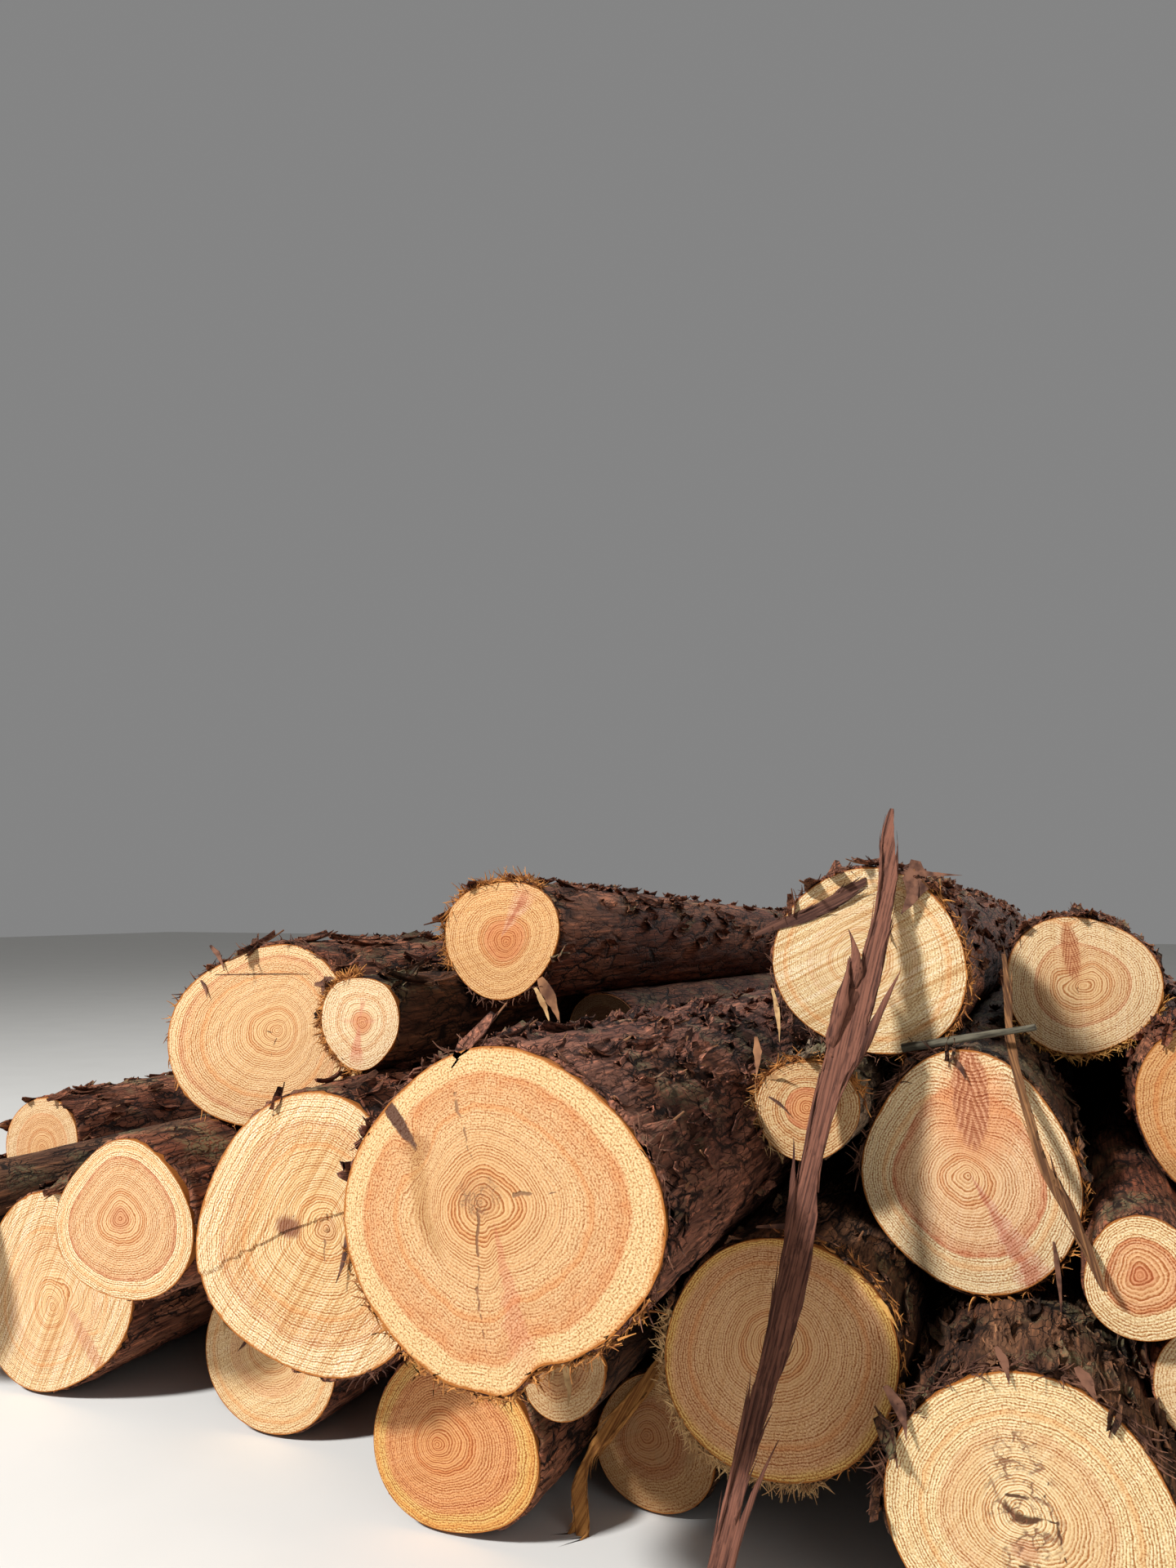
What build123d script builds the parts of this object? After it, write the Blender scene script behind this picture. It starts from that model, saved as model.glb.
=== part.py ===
from build123d import *
import math
import os
from dataclasses import dataclass

# A stack of freshly sawn conifer logs, with their bark on, all lying the same way.
# +Y runs along the logs, away from the cut ends that face the viewer, +X is to the right and +Z is up.
# All sizes are in millimetres.

# Every log is sawn to one stock length and loses a little radius on its way to the back.
STOCK_LENGTH = 4000
TAPER_PER_METRE = 2.5
FLARE_LENGTH = 420
BIG_FLARE = 8

# The big log's butt has a fold low on its right, which runs out where the flare ends: its angle from +X, its depth,
# and how far round it reaches clockwise and anticlockwise. Angles are in degrees.
FOLD_ANGLE = -72
FOLD_DEPTH = 20
FOLD_STEEP_SIDE = 9
FOLD_GENTLE_SIDE = 27

# The stepped log was sawn from two sides: the lower cut lies this far behind the upper one, below a line through a
# point left of the middle that rises to the right. The point is in shares of the radius, the slopes are in degrees.
STEP_DEPTH = 9
STEP_CORNER = (-0.18, 0.03)
STEP_LEFT_SLOPE = 28
STEP_RIGHT_SLOPE = 20

# Clear distance left between pieces that touch.
SEAT = 0.3

# Radius of each log at its front end.
FAR_LEFT_RADIUS = 154
GROUND_LEFT_RADIUS = 226
HEART_RING_RADIUS = 171
OVAL_RADIUS = 225
SMALL_UPPER_RADIUS = 94
GROUND_PALE_RADIUS = 177
STEPPED_RADIUS = 249
TOP_LEFT_RADIUS = 135
BIG_RADIUS = 251
GROUND_SHADED_RADIUS = 163
SMALL_HIDDEN_RADIUS = 87
GROUND_DARK_RADIUS = 121
YELLOW_RADIUS = 201
SMALL_MIDDLE_RADIUS = 92
TOP_MIDDLE_RADIUS = 180
EGG_RADIUS = 196
TOP_RIGHT_RADIUS = 152
RIGHT_SMALL_RADIUS = 94
GROUND_RIGHT_RADIUS = 211
RIGHT_EDGE_RADIUS = 94
RIGHT_UPPER_RADIUS = 185
SLOPED_RADIUS = 105
HIDDEN_LEFT_A_RADIUS = 158
HIDDEN_LEFT_B_RADIUS = 156
HIDDEN_RIGHT_A_RADIUS = 158
HIDDEN_RIGHT_B_RADIUS = 150
HIDDEN_RIGHT_UPPER_RADIUS = 167
HIDDEN_MIDDLE_RADIUS = 93

# How far each front end stands back from the nearest one, the big log's.
FAR_LEFT_SETBACK = 1080
GROUND_LEFT_SETBACK = 480
HEART_RING_SETBACK = 316
OVAL_SETBACK = 530
SMALL_UPPER_SETBACK = 410
GROUND_PALE_SETBACK = 515
STEPPED_SETBACK = 224
TOP_LEFT_SETBACK = 675
BIG_SETBACK = 0
GROUND_SHADED_SETBACK = 335
SMALL_HIDDEN_SETBACK = 345
GROUND_DARK_SETBACK = 535
EGG_SETBACK = 615
TOP_MIDDLE_BEHIND = 50
TOP_MIDDLE_SETBACK = EGG_SETBACK + TOP_MIDDLE_BEHIND
TOP_RIGHT_SETBACK = 1105
RIGHT_SMALL_SETBACK = 480
GROUND_RIGHT_SETBACK = 315
RIGHT_EDGE_SETBACK = 525
RIGHT_UPPER_SETBACK = 900
SLOPED_SETBACK = 260
HIDDEN_LEFT_A_SETBACK = 620
HIDDEN_LEFT_B_SETBACK = 760
HIDDEN_RIGHT_A_SETBACK = 560
HIDDEN_RIGHT_B_SETBACK = 700
HIDDEN_RIGHT_UPPER_SETBACK = 640
HIDDEN_MIDDLE_SETBACK = 1100

# The long strip passes in front of these two logs on its way to the top middle one, so their ends follow that log's.
SMALL_MIDDLE_AHEAD = 165
SMALL_MIDDLE_SETBACK = TOP_MIDDLE_SETBACK - SMALL_MIDDLE_AHEAD
YELLOW_AHEAD = 80
YELLOW_SETBACK = SMALL_MIDDLE_SETBACK - YELLOW_AHEAD

# Least clear distance between neighbours on the ground.
GAP_HIDDEN_LEFT = 150
GAP_GROUND_LEFT = 94
GAP_GROUND_PALE = 159
GAP_GROUND_SHADED = 192
GAP_GROUND_DARK = 11
GAP_GROUND_RIGHT = 317
GAP_HIDDEN_RIGHT_A = 44
GAP_HIDDEN_RIGHT_B = 4

# Thickness of the loose strips of bark.
LONG_STRIP_THICKNESS = 4
DARK_STRIP_THICKNESS = 3
THIN_STRIP_THICKNESS = 3
GOLD_STRIP_THICKNESS = 3

# The long strip leans on the top middle log from a foot on the ground, this far in front of that log's end.
LONG_STRIP_FOOT_REACH = 600

# Places along the long strip: distance up it, sideways from the log that it leans on, and width.
LONG_STRIP_PLACES = (
    (0, -166, 22), (180, -144, 24), (350, -115, 28), (490, -84, 40), (630, -66, 44), (760, -56, 32),
    (860, -40, 40), (970, -9, 56), (1045, 10, 46), (1185, 34, 30), (1285, 42, 30), (1370, 38, 20), (1420, 43, 8),
)

# Places along the dark strip on the top middle log's end: sideways and up from its middle, and width.
DARK_STRIP_PLACES = ((-212, 46, 6), (-155, 69, 20), (-94, 91, 26), (-40, 122, 24), (0, 146, 14))

# Places along the thin strip: distance up it, sideways and width. It crosses the rim of the small log at the right
# at a distance of 0, so far up from that log's middle, and is placed so far to the left of it.
THIN_STRIP_RISE = 52
THIN_STRIP_OFFSET = 98
THIN_STRIP_PLACES = (
    (-73, 41, 8), (-34, 26, 14), (17, 6, 16), (88, -32, 18), (145, -51, 16), (204, -65, 15), (288, -83, 14),
    (392, -92, 10), (480, -98, 6),
)

# The golden strip of inner bark leans on the dark log on the ground, from a foot this far in front of its end.
# Its places are like the long strip's.
GOLD_STRIP_FOOT_REACH = 110
GOLD_STRIP_PLACES = (
    (0, -96, 20), (50, -106, 26), (92, -110, 18), (112, -104, 12), (150, -82, 26), (205, -42, 32), (262, -4, 28),
    (300, 14, 10),
)

# The grey stick lies on top of the egg-shaped log.
STICK_RADIUS = 8
STICK_TIP_RADIUS = 5
STICK_LENGTH = 230
STICK_LEFT_PART = 60
STICK_SLOPE = 13
STICK_BACK = 20
STICK_FRONT = 30

# The number of flats round a log, and of directions and places tried when a log is laid on another.
FLATS = 40
DIRECTIONS = 360
STATIONS = 5
END_SHARE = 0.42

# How a resting place is searched for: the most rounds of each search, the trial shift, the longest step,
# and how far from touching, or how deep in a third log, a log may still be when the search ends.
SETTLE_ROUNDS = 12
CARRIER_ROUNDS = 4
SPACING_ROUNDS = 8
LEAN_ROUNDS = 6
TRIAL_SHIFT = 0.5
LONGEST_STEP = 60.0
TOUCH_TOLERANCE = 0.01
SINK_TOLERANCE = 0.05
LEAST_RISE = 1.0
FIRST_LEAN = 0.5


@dataclass
class Log:
    """A log: its outline is a circle with a few lobes, each a number, a share of the radius and an angle."""

    name: str
    radius: float
    setback: float
    lobes: tuple
    flare: float = 0.0
    fold: float = 0.0
    step: float = 0.0
    gap: float = 0.0
    left: str = ""
    right: str = ""


GROUND_ROW = [
    Log("log_hidden_left_b", HIDDEN_LEFT_B_RADIUS, HIDDEN_LEFT_B_SETBACK, ((2, 0.03, 20), (3, 0.02, 10))),
    Log("log_hidden_left_a", HIDDEN_LEFT_A_RADIUS, HIDDEN_LEFT_A_SETBACK, ((2, 0.02, 80), (3, 0.02, 40)),
        gap=GAP_HIDDEN_LEFT),
    Log("log_ground_left", GROUND_LEFT_RADIUS, GROUND_LEFT_SETBACK, ((2, 0.04, 33), (3, 0.04, -1)),
        gap=GAP_GROUND_LEFT),
    Log("log_ground_pale", GROUND_PALE_RADIUS, GROUND_PALE_SETBACK, ((2, 0.04, 75), (3, 0.03, -39)),
        gap=GAP_GROUND_PALE),
    Log("log_ground_shaded", GROUND_SHADED_RADIUS, GROUND_SHADED_SETBACK, ((2, 0.04, 5), (3, 0.035, -18)),
        gap=GAP_GROUND_SHADED),
    Log("log_ground_dark", GROUND_DARK_RADIUS, GROUND_DARK_SETBACK, ((2, 0.03, 78), (3, 0.03, -38)),
        gap=GAP_GROUND_DARK),
    Log("log_ground_right", GROUND_RIGHT_RADIUS, GROUND_RIGHT_SETBACK, ((2, 0.04, -48), (3, 0.03, -49)),
        gap=GAP_GROUND_RIGHT),
    Log("log_hidden_right_a", HIDDEN_RIGHT_A_RADIUS, HIDDEN_RIGHT_A_SETBACK, ((2, 0.03, -20), (3, 0.02, 0)),
        gap=GAP_HIDDEN_RIGHT_A),
    Log("log_hidden_right_b", HIDDEN_RIGHT_B_RADIUS, HIDDEN_RIGHT_B_SETBACK, ((2, 0.02, 50), (3, 0.02, 30)),
        gap=GAP_HIDDEN_RIGHT_B),
]

# The logs above the ground, each laid in the groove between two that are there already.
UPPER_ROWS = [
    Log("log_sloped", SLOPED_RADIUS, SLOPED_SETBACK, ((2, 0.04, 60), (3, 0.02, 30)),
        left="log_hidden_left_a", right="log_ground_left"),
    Log("log_far_left", FAR_LEFT_RADIUS, FAR_LEFT_SETBACK, ((2, 0.03, -90), (3, 0.03, 48)),
        left="log_hidden_left_b", right="log_hidden_left_a"),
    Log("log_heart_ring", HEART_RING_RADIUS, HEART_RING_SETBACK, ((2, 0.07, 5), (3, 0.045, -33), (4, 0.015, 5)),
        left="log_ground_left", right="log_ground_pale"),
    Log("log_stepped", STEPPED_RADIUS, STEPPED_SETBACK, ((3, 0.05, -37), (5, 0.01, -10)), step=STEP_DEPTH,
        left="log_ground_pale", right="log_ground_shaded"),
    Log("log_small_hidden", SMALL_HIDDEN_RADIUS, SMALL_HIDDEN_SETBACK, ((2, 0.03, 70), (3, 0.02, 15)),
        left="log_ground_shaded", right="log_ground_dark"),
    Log("log_yellow", YELLOW_RADIUS, YELLOW_SETBACK, ((2, 0.05, 42), (4, 0.011, 31)),
        left="log_ground_dark", right="log_ground_right"),
    Log("log_big", BIG_RADIUS, BIG_SETBACK, ((2, 0.05, 26), (3, 0.016, 2), (4, 0.025, 1)), flare=BIG_FLARE,
        fold=FOLD_DEPTH, left="log_stepped", right="log_yellow"),
    Log("log_egg", EGG_RADIUS, EGG_SETBACK, ((2, 0.06, -84), (3, 0.03, -38), (4, 0.02, 5)),
        left="log_yellow", right="log_ground_right"),
    Log("log_right_edge", RIGHT_EDGE_RADIUS, RIGHT_EDGE_SETBACK, ((2, 0.03, 30), (3, 0.02, 0)),
        left="log_ground_right", right="log_hidden_right_a"),
    Log("log_right_small", RIGHT_SMALL_RADIUS, RIGHT_SMALL_SETBACK, ((2, 0.04, 66), (3, 0.03, -19)),
        left="log_ground_right", right="log_right_edge"),
    Log("log_hidden_right_upper", HIDDEN_RIGHT_UPPER_RADIUS, HIDDEN_RIGHT_UPPER_SETBACK,
        ((2, 0.03, 10), (3, 0.02, 20)), left="log_hidden_right_a", right="log_hidden_right_b"),
    Log("log_right_upper", RIGHT_UPPER_RADIUS, RIGHT_UPPER_SETBACK, ((2, 0.03, -30), (3, 0.02, 20)),
        left="log_right_edge", right="log_hidden_right_upper"),
    Log("log_oval", OVAL_RADIUS, OVAL_SETBACK, ((2, 0.12, 11), (3, 0.04, -57)),
        left="log_heart_ring", right="log_stepped"),
    Log("log_small_upper", SMALL_UPPER_RADIUS, SMALL_UPPER_SETBACK, ((3, 0.035, 30), (5, 0.01, -17)),
        left="log_oval", right="log_stepped"),
    Log("log_small_middle", SMALL_MIDDLE_RADIUS, SMALL_MIDDLE_SETBACK, ((2, 0.05, 26), (3, 0.02, 26)),
        left="log_big", right="log_egg"),
    Log("log_hidden_middle", HIDDEN_MIDDLE_RADIUS, HIDDEN_MIDDLE_SETBACK, ((2, 0.02, 30), (3, 0.02, 10)),
        left="log_small_upper", right="log_big"),
    Log("log_top_left", TOP_LEFT_RADIUS, TOP_LEFT_SETBACK, ((2, 0.05, 19), (3, 0.045, 32)),
        left="log_small_upper", right="log_hidden_middle"),
    Log("log_top_middle", TOP_MIDDLE_RADIUS, TOP_MIDDLE_SETBACK, ((2, 0.025, -22), (3, 0.028, -47)),
        left="log_small_middle", right="log_egg"),
    Log("log_top_right", TOP_RIGHT_RADIUS, TOP_RIGHT_SETBACK, ((2, 0.034, 11), (3, 0.035, 4)),
        left="log_egg", right="log_right_upper"),
]


def outline(log, angle):
    """Distance from the axis to the bark at an angle from +X towards +Z, for a radius of one."""
    return 1 + sum(share * math.cos(count * (angle - math.radians(turn))) for count, share, turn in log.lobes)


def corners(log):
    """The corners of the outline of radius one, as x and z."""
    turns = [2 * math.pi * i / FLATS for i in range(FLATS)]
    return [(outline(log, turn) * math.cos(turn), outline(log, turn) * math.sin(turn)) for turn in turns]


def reach_table(log):
    """How far the outline of radius one reaches in each of the directions."""
    points = corners(log)
    return [max(x * cosine + z * sine for x, z in points) for cosine, sine in zip(COSINES, SINES)]


def radius_at(log, y):
    """Radius at a distance y along the stack, with the flare of the butt end and the taper."""
    along = y - log.setback
    flared = log.flare * max(0.0, 1 - along / FLARE_LENGTH)
    return log.radius - log.flare + flared - TAPER_PER_METRE * along / 1000


class Placed:
    """A log with its axis: the x and z of its front end and of its back end."""

    def __init__(self, log, ends):
        self.log = log
        self.ends = ends
        self.reach = REACH[log.name]

    def centre(self, y):
        """The x and z of the axis at y."""
        share = (y - self.log.setback) / STOCK_LENGTH
        front_x, front_z, back_x, back_z = self.ends
        return front_x + share * (back_x - front_x), front_z + share * (back_z - front_z)


def gap(upper, lower, y):
    """Clear distance between the sections of two placed logs at y, negative where they overlap."""
    x1, z1 = upper.centre(y)
    x2, z2 = lower.centre(y)
    r1 = radius_at(upper.log, y)
    r2 = radius_at(lower.log, y)
    half = DIRECTIONS // 2
    towards = math.atan2(z1 - z2, x1 - x2)
    middle = round(towards / (2 * math.pi) * DIRECTIONS)
    widest = -math.inf
    for i in range(middle - DIRECTIONS // 8, middle + DIRECTIONS // 8 + 1):
        k = i % DIRECTIONS
        apart = (x1 - x2) * COSINES[k] + (z1 - z2) * SINES[k]
        widest = max(widest, apart - r2 * lower.reach[k] - r1 * upper.reach[(k + half) % DIRECTIONS])
    return widest


def stations(a, b, half):
    """Places along the front part (0) or the back part (1) of the stretch that two logs share."""
    start = max(a.setback, b.setback)
    shared = min(a.setback, b.setback) + STOCK_LENGTH - start
    first = start if half == 0 else start + (1 - END_SHARE) * shared
    return [first + END_SHARE * shared * i / (STATIONS - 1) for i in range(STATIONS)]


def nearest(upper, lower, half):
    """Least clear distance between two placed logs in one half of the stretch that they share."""
    return min(gap(upper, lower, y) for y in stations(upper.log, lower.log, half))


def solve(matrix, values):
    """Solution of a small set of linear equations, by elimination."""
    size = len(values)
    rows = [list(matrix[i]) + [values[i]] for i in range(size)]
    for i in range(size):
        pivot = max(range(i, size), key=lambda k: abs(rows[k][i]))
        rows[i], rows[pivot] = rows[pivot], rows[i]
        for k in range(i + 1, size):
            factor = rows[k][i] / rows[i][i]
            rows[k] = [a - factor * b for a, b in zip(rows[k], rows[i])]
    answer = [0.0] * size
    for i in reversed(range(size)):
        rest = sum(rows[i][k] * answer[k] for k in range(i + 1, size))
        answer[i] = (rows[i][size] - rest) / rows[i][i]
    return answer


def first_guess(log, left, right, y):
    """Centre of a circle that touches two circles from above."""
    x1, z1 = left.centre(y)
    x2, z2 = right.centre(y)
    to_left = radius_at(left.log, y) + log.radius
    to_right = radius_at(right.log, y) + log.radius
    base = math.hypot(x2 - x1, z2 - z1)
    along = (to_left ** 2 - to_right ** 2 + base ** 2) / (2 * base)
    height = math.sqrt(max(LEAST_RISE, to_left ** 2 - along ** 2))
    ux, uz = (x2 - x1) / base, (z2 - z1) / base
    return x1 + along * ux - height * uz, z1 + along * uz + height * ux


def settle(log, carriers):
    """Lay a log on its two carriers, front and back, so that it touches both in both halves."""
    middle = log.setback + STOCK_LENGTH / 2
    x, z = first_guess(log, carriers[0], carriers[1], middle)
    ends = [x, z, x, z]

    def misses(trial):
        placed = Placed(log, trial)
        return [nearest(placed, carriers[k], k // 2) - SEAT for k in range(4)]

    for _ in range(SETTLE_ROUNDS):
        now = misses(ends)
        if max(abs(miss) for miss in now) < TOUCH_TOLERANCE:
            break
        columns = []
        for k in range(4):
            moved = list(ends)
            moved[k] += TRIAL_SHIFT
            columns.append([(b - a) / TRIAL_SHIFT for a, b in zip(now, misses(moved))])
        matrix = [[columns[k][i] for k in range(4)] for i in range(4)]
        steps = solve(matrix, [-miss for miss in now])
        ends = [value + max(-LONGEST_STEP, min(LONGEST_STEP, step)) for value, step in zip(ends, steps)]
    return Placed(log, ends)


def lay(log, placed):
    """Lay a log on the two that it is named with, or on one that it meets before them."""
    carriers = [placed[log.left], placed[log.right]] * 2
    for _ in range(CARRIER_ROUNDS):
        rested = settle(log, carriers)
        worst, culprit, where = -SINK_TOLERANCE, None, 0
        for other in placed.values():
            for half in (0, 1):
                clear = nearest(rested, other, half) - SEAT
                if other not in carriers[2 * half:2 * half + 2] and clear < worst:
                    worst, culprit, where = clear, other, half
        if culprit is None:
            break
        side = 0 if culprit.centre(log.setback)[0] < rested.centre(log.setback)[0] else 1
        carriers[2 * where + side] = culprit
    return rested


def lay_ground_row(logs):
    """Lay the ground row from left to right, each log a named gap from the one before it."""
    placed = {}
    x = 0.0
    before = None
    for log in logs:
        down = REACH[log.name][3 * DIRECTIONS // 4]
        front = radius_at(log, log.setback) * down
        back = radius_at(log, log.setback + STOCK_LENGTH) * down
        if before:
            x += before.log.radius + log.radius
            for _ in range(SPACING_ROUNDS):
                clear = min(nearest(Placed(log, [x, front, x, back]), before, half) for half in (0, 1))
                x += log.gap - clear
        before = Placed(log, [x, front, x, back])
        placed[log.name] = before
    return placed


def fold_at(log, angle, y):
    """How deep the fold in a butt end is at an angle, fading out along the flare."""
    around = (math.degrees(angle) - FOLD_ANGLE + 180) % 360 - 180
    reach = FOLD_STEEP_SIDE if around < 0 else FOLD_GENTLE_SIDE
    fade = max(0.0, 1 - (y - log.setback) / FLARE_LENGTH)
    return log.fold * fade * max(0.0, 1 - abs(around) / reach)


def ring(placed, y):
    """The corners of a log's section at y."""
    log = placed.log
    x, z = placed.centre(y)
    points = []
    for i in range(FLATS):
        angle = 2 * math.pi * i / FLATS
        distance = radius_at(log, y) * outline(log, angle) - fold_at(log, angle, y)
        points.append(Vector(x + distance * math.cos(angle), y, z + distance * math.sin(angle)))
    return points


def flats(near, far, folded):
    """The faces between two rings: a flat for each pair of corners, or two triangles where a fold twists it."""
    faces = []
    for i in range(FLATS):
        if folded:
            faces.append(Face(Wire.make_polygon([near[i - 1], near[i], far[i]])))
            faces.append(Face(Wire.make_polygon([near[i - 1], far[i], far[i - 1]])))
        else:
            faces.append(Face(Wire.make_polygon([near[i - 1], near[i], far[i], far[i - 1]])))
    return faces


def step_cut(placed):
    """The wood that the lower saw cut took away in front of a stepped log's face."""
    log = placed.log
    x, z = placed.centre(log.setback)
    corner = (x + STEP_CORNER[0] * log.radius, z + STEP_CORNER[1] * log.radius)
    reach = 2 * log.radius
    left_slope, right_slope = math.radians(STEP_LEFT_SLOPE), math.radians(STEP_RIGHT_SLOPE)
    line = [
        (corner[0] - reach * math.cos(left_slope), corner[1] - reach * math.sin(left_slope)),
        corner,
        (corner[0] + reach * math.cos(right_slope), corner[1] + reach * math.sin(right_slope)),
        (x + reach, z - reach),
        (x - reach, z - reach),
    ]
    front = log.setback - log.step
    face = Face(Wire.make_polygon([Vector(across, front, up) for across, up in line]))
    return Solid.extrude(face, Vector(0, 2 * log.step, 0))


def log_solid(placed):
    """A log as one solid: its two saw cuts, and flats from ring to ring at the front, flare and back."""
    log = placed.log
    places = [log.setback, log.setback + STOCK_LENGTH]
    if log.flare:
        places.insert(1, log.setback + FLARE_LENGTH)
    rings = [ring(placed, y) for y in places]
    faces = [Face(Wire.make_polygon(rings[0])), Face(Wire.make_polygon(rings[-1]))]
    for near, far in zip(rings, rings[1:]):
        faces += flats(near, far, log.fold and near is rings[0])
    solid = Solid(Shell(faces))
    if log.step:
        solid = solid.cut(step_cut(placed)).solids()[0]
    return solid


def between(places, up):
    """Sideways place and width of a strip at a distance up it."""
    for low, high in zip(places, places[1:]):
        if low[0] <= up <= high[0]:
            share = (up - low[0]) / (high[0] - low[0])
            return tuple(a + share * (b - a) for a, b in zip(low[1:], high[1:]))
    return 0.0, 0.0


def rim_behind(placed, x, low_z, lean, places):
    """Highest point of a log's front rim that a leaning strip covers."""
    log = placed.log
    centre_x, centre_z = placed.centre(log.setback)
    heights = []
    for i in range(DIRECTIONS):
        distance = log.radius * outline(log, 2 * math.pi * i / DIRECTIONS)
        point_x = centre_x + distance * COSINES[i]
        point_z = centre_z + distance * SINES[i]
        across, width = between(places, (point_z - low_z) / math.cos(lean))
        if abs(point_x - x - across) <= width / 2:
            heights.append(point_z)
    return max(heights)


def flat_strip(plane, places, thickness):
    """A strip of bark in a plane: each place is a distance up it, a distance sideways and a width."""
    left = [plane.from_local_coords(Vector(across - width / 2, up)) for up, across, width in places]
    right = [plane.from_local_coords(Vector(across + width / 2, up)) for up, across, width in places]
    edges = [
        Edge.make_spline(left),
        Edge.make_line(left[-1], right[-1]),
        Edge.make_spline(right[::-1]),
        Edge.make_line(right[0], left[0]),
    ]
    return Solid.extrude(Face(Wire(edges)), plane.z_dir * thickness)


def leaning_strip(carrier, x, low, places, thickness):
    """A strip that leans back from a low edge, given by its y and z, onto the front rim of a log."""
    lean = FIRST_LEAN
    for _ in range(LEAN_ROUNDS):
        rim = rim_behind(carrier, x, low[1], lean, places)
        lean = math.atan2(carrier.log.setback - low[0], rim - low[1])
    towards_viewer = (0, -math.cos(lean), math.sin(lean))
    plane = Plane(origin=(x, low[0] - SEAT, low[1]), x_dir=(1, 0, 0), z_dir=towards_viewer)
    return flat_strip(plane, places, thickness)


def strip_from_ground(carrier, foot_reach, places, thickness):
    """A strip that stands on the ground in front of a log's end and leans on its front rim."""
    foot = (carrier.log.setback - foot_reach, 0)
    x = carrier.centre(carrier.log.setback)[0]
    return leaning_strip(carrier, x, foot, places, thickness)


def long_strip(stack):
    """The long strip, from the ground to the front rim of the top middle log and past it."""
    carrier = stack["log_top_middle"]
    return strip_from_ground(carrier, LONG_STRIP_FOOT_REACH, LONG_STRIP_PLACES, LONG_STRIP_THICKNESS)


def gold_strip(stack):
    """The golden strip, from the ground to the front rim of the dark log on the ground."""
    carrier = stack["log_ground_dark"]
    return strip_from_ground(carrier, GOLD_STRIP_FOOT_REACH, GOLD_STRIP_PLACES, GOLD_STRIP_THICKNESS)


def dark_strip(stack):
    """The dark strip that lies flat on the end of the top middle log."""
    carrier = stack["log_top_middle"]
    x, z = carrier.centre(carrier.log.setback)
    plane = Plane(origin=(x, carrier.log.setback - SEAT, z), x_dir=(1, 0, 0), z_dir=(0, -1, 0))
    top = [plane.from_local_coords(Vector(across, up + width / 2)) for across, up, width in DARK_STRIP_PLACES]
    under = [plane.from_local_coords(Vector(across, up - width / 2)) for across, up, width in DARK_STRIP_PLACES]
    edges = [
        Edge.make_spline(top),
        Edge.make_line(top[-1], under[-1]),
        Edge.make_spline(under[::-1]),
        Edge.make_line(under[0], top[0]),
    ]
    return Solid.extrude(Face(Wire(edges)), plane.z_dir * DARK_STRIP_THICKNESS)


def thin_strip(stack):
    """The thin strip, across the front rims of the small log at the right and the egg-shaped log."""
    small = stack["log_right_small"]
    egg = stack["log_egg"]
    small_x, small_z = small.centre(small.log.setback)
    x = small_x - THIN_STRIP_OFFSET
    low_z = small_z + THIN_STRIP_RISE
    return leaning_strip(egg, x, (small.log.setback, low_z), THIN_STRIP_PLACES, THIN_STRIP_THICKNESS)


def grey_stick(stack):
    """The round stick that lies across the top of the egg-shaped log, and rises to the right."""
    carrier = stack["log_egg"]
    log = carrier.log
    turn = math.radians(90 + STICK_SLOPE)
    k = round((90 + STICK_SLOPE) / 360 * DIRECTIONS)
    x, z = carrier.centre(log.setback)
    seated_radius = STICK_RADIUS - (STICK_RADIUS - STICK_TIP_RADIUS) * STICK_LEFT_PART / STICK_LENGTH
    out = radius_at(log, log.setback) * carrier.reach[k] + seated_radius + SEAT
    middle = (x + out * math.cos(turn), z + out * math.sin(turn))
    along = (math.sin(turn), -math.cos(turn))
    left = (middle[0] - STICK_LEFT_PART * along[0], middle[1] - STICK_LEFT_PART * along[1])
    right_part = STICK_LENGTH - STICK_LEFT_PART
    right = (middle[0] + right_part * along[0], middle[1] + right_part * along[1])
    start = Vector(left[0], log.setback + STICK_BACK, left[1])
    end = Vector(right[0], log.setback - STICK_FRONT, right[1])
    return Solid.make_cone(STICK_RADIUS, STICK_TIP_RADIUS, (end - start).length, Plane(origin=start, z_dir=end - start))


COSINES = [math.cos(2 * math.pi * i / DIRECTIONS) for i in range(DIRECTIONS)]
SINES = [math.sin(2 * math.pi * i / DIRECTIONS) for i in range(DIRECTIONS)]
REACH = {log.name: reach_table(log) for log in GROUND_ROW + UPPER_ROWS}


def main():
    stack = lay_ground_row(GROUND_ROW)
    for log in UPPER_ROWS:
        stack[log.name] = lay(log, stack)
    solids = {name: log_solid(placed) for name, placed in stack.items()}
    solids["bark_strip_long"] = long_strip(stack)
    solids["bark_strip_dark"] = dark_strip(stack)
    solids["bark_strip_thin"] = thin_strip(stack)
    solids["bark_strip_gold"] = gold_strip(stack)
    solids["stick_grey"] = grey_stick(stack)
    boxes = [solid.bounding_box() for solid in solids.values()]
    middle_x = (min(box.min.X for box in boxes) + max(box.max.X for box in boxes)) / 2
    middle_y = (min(box.min.Y for box in boxes) + max(box.max.Y for box in boxes)) / 2
    lowest = min(box.min.Z for box in boxes)
    home = Location((-middle_x, -middle_y, -lowest))
    os.makedirs("parts", exist_ok=True)
    for name, solid in solids.items():
        export_step(solid.moved(home), f"parts/{name}.step")
    for name, placed in stack.items():
        front_x, front_z, back_x, back_z = placed.ends
        print(f"{name}: front {front_x - middle_x:.0f}, {front_z:.0f}; back {back_x - middle_x:.0f}, {back_z:.0f}")
    print(f"origin at {middle_x:.1f}, {middle_y:.1f}, {lowest:.3f}")


main()
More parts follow.
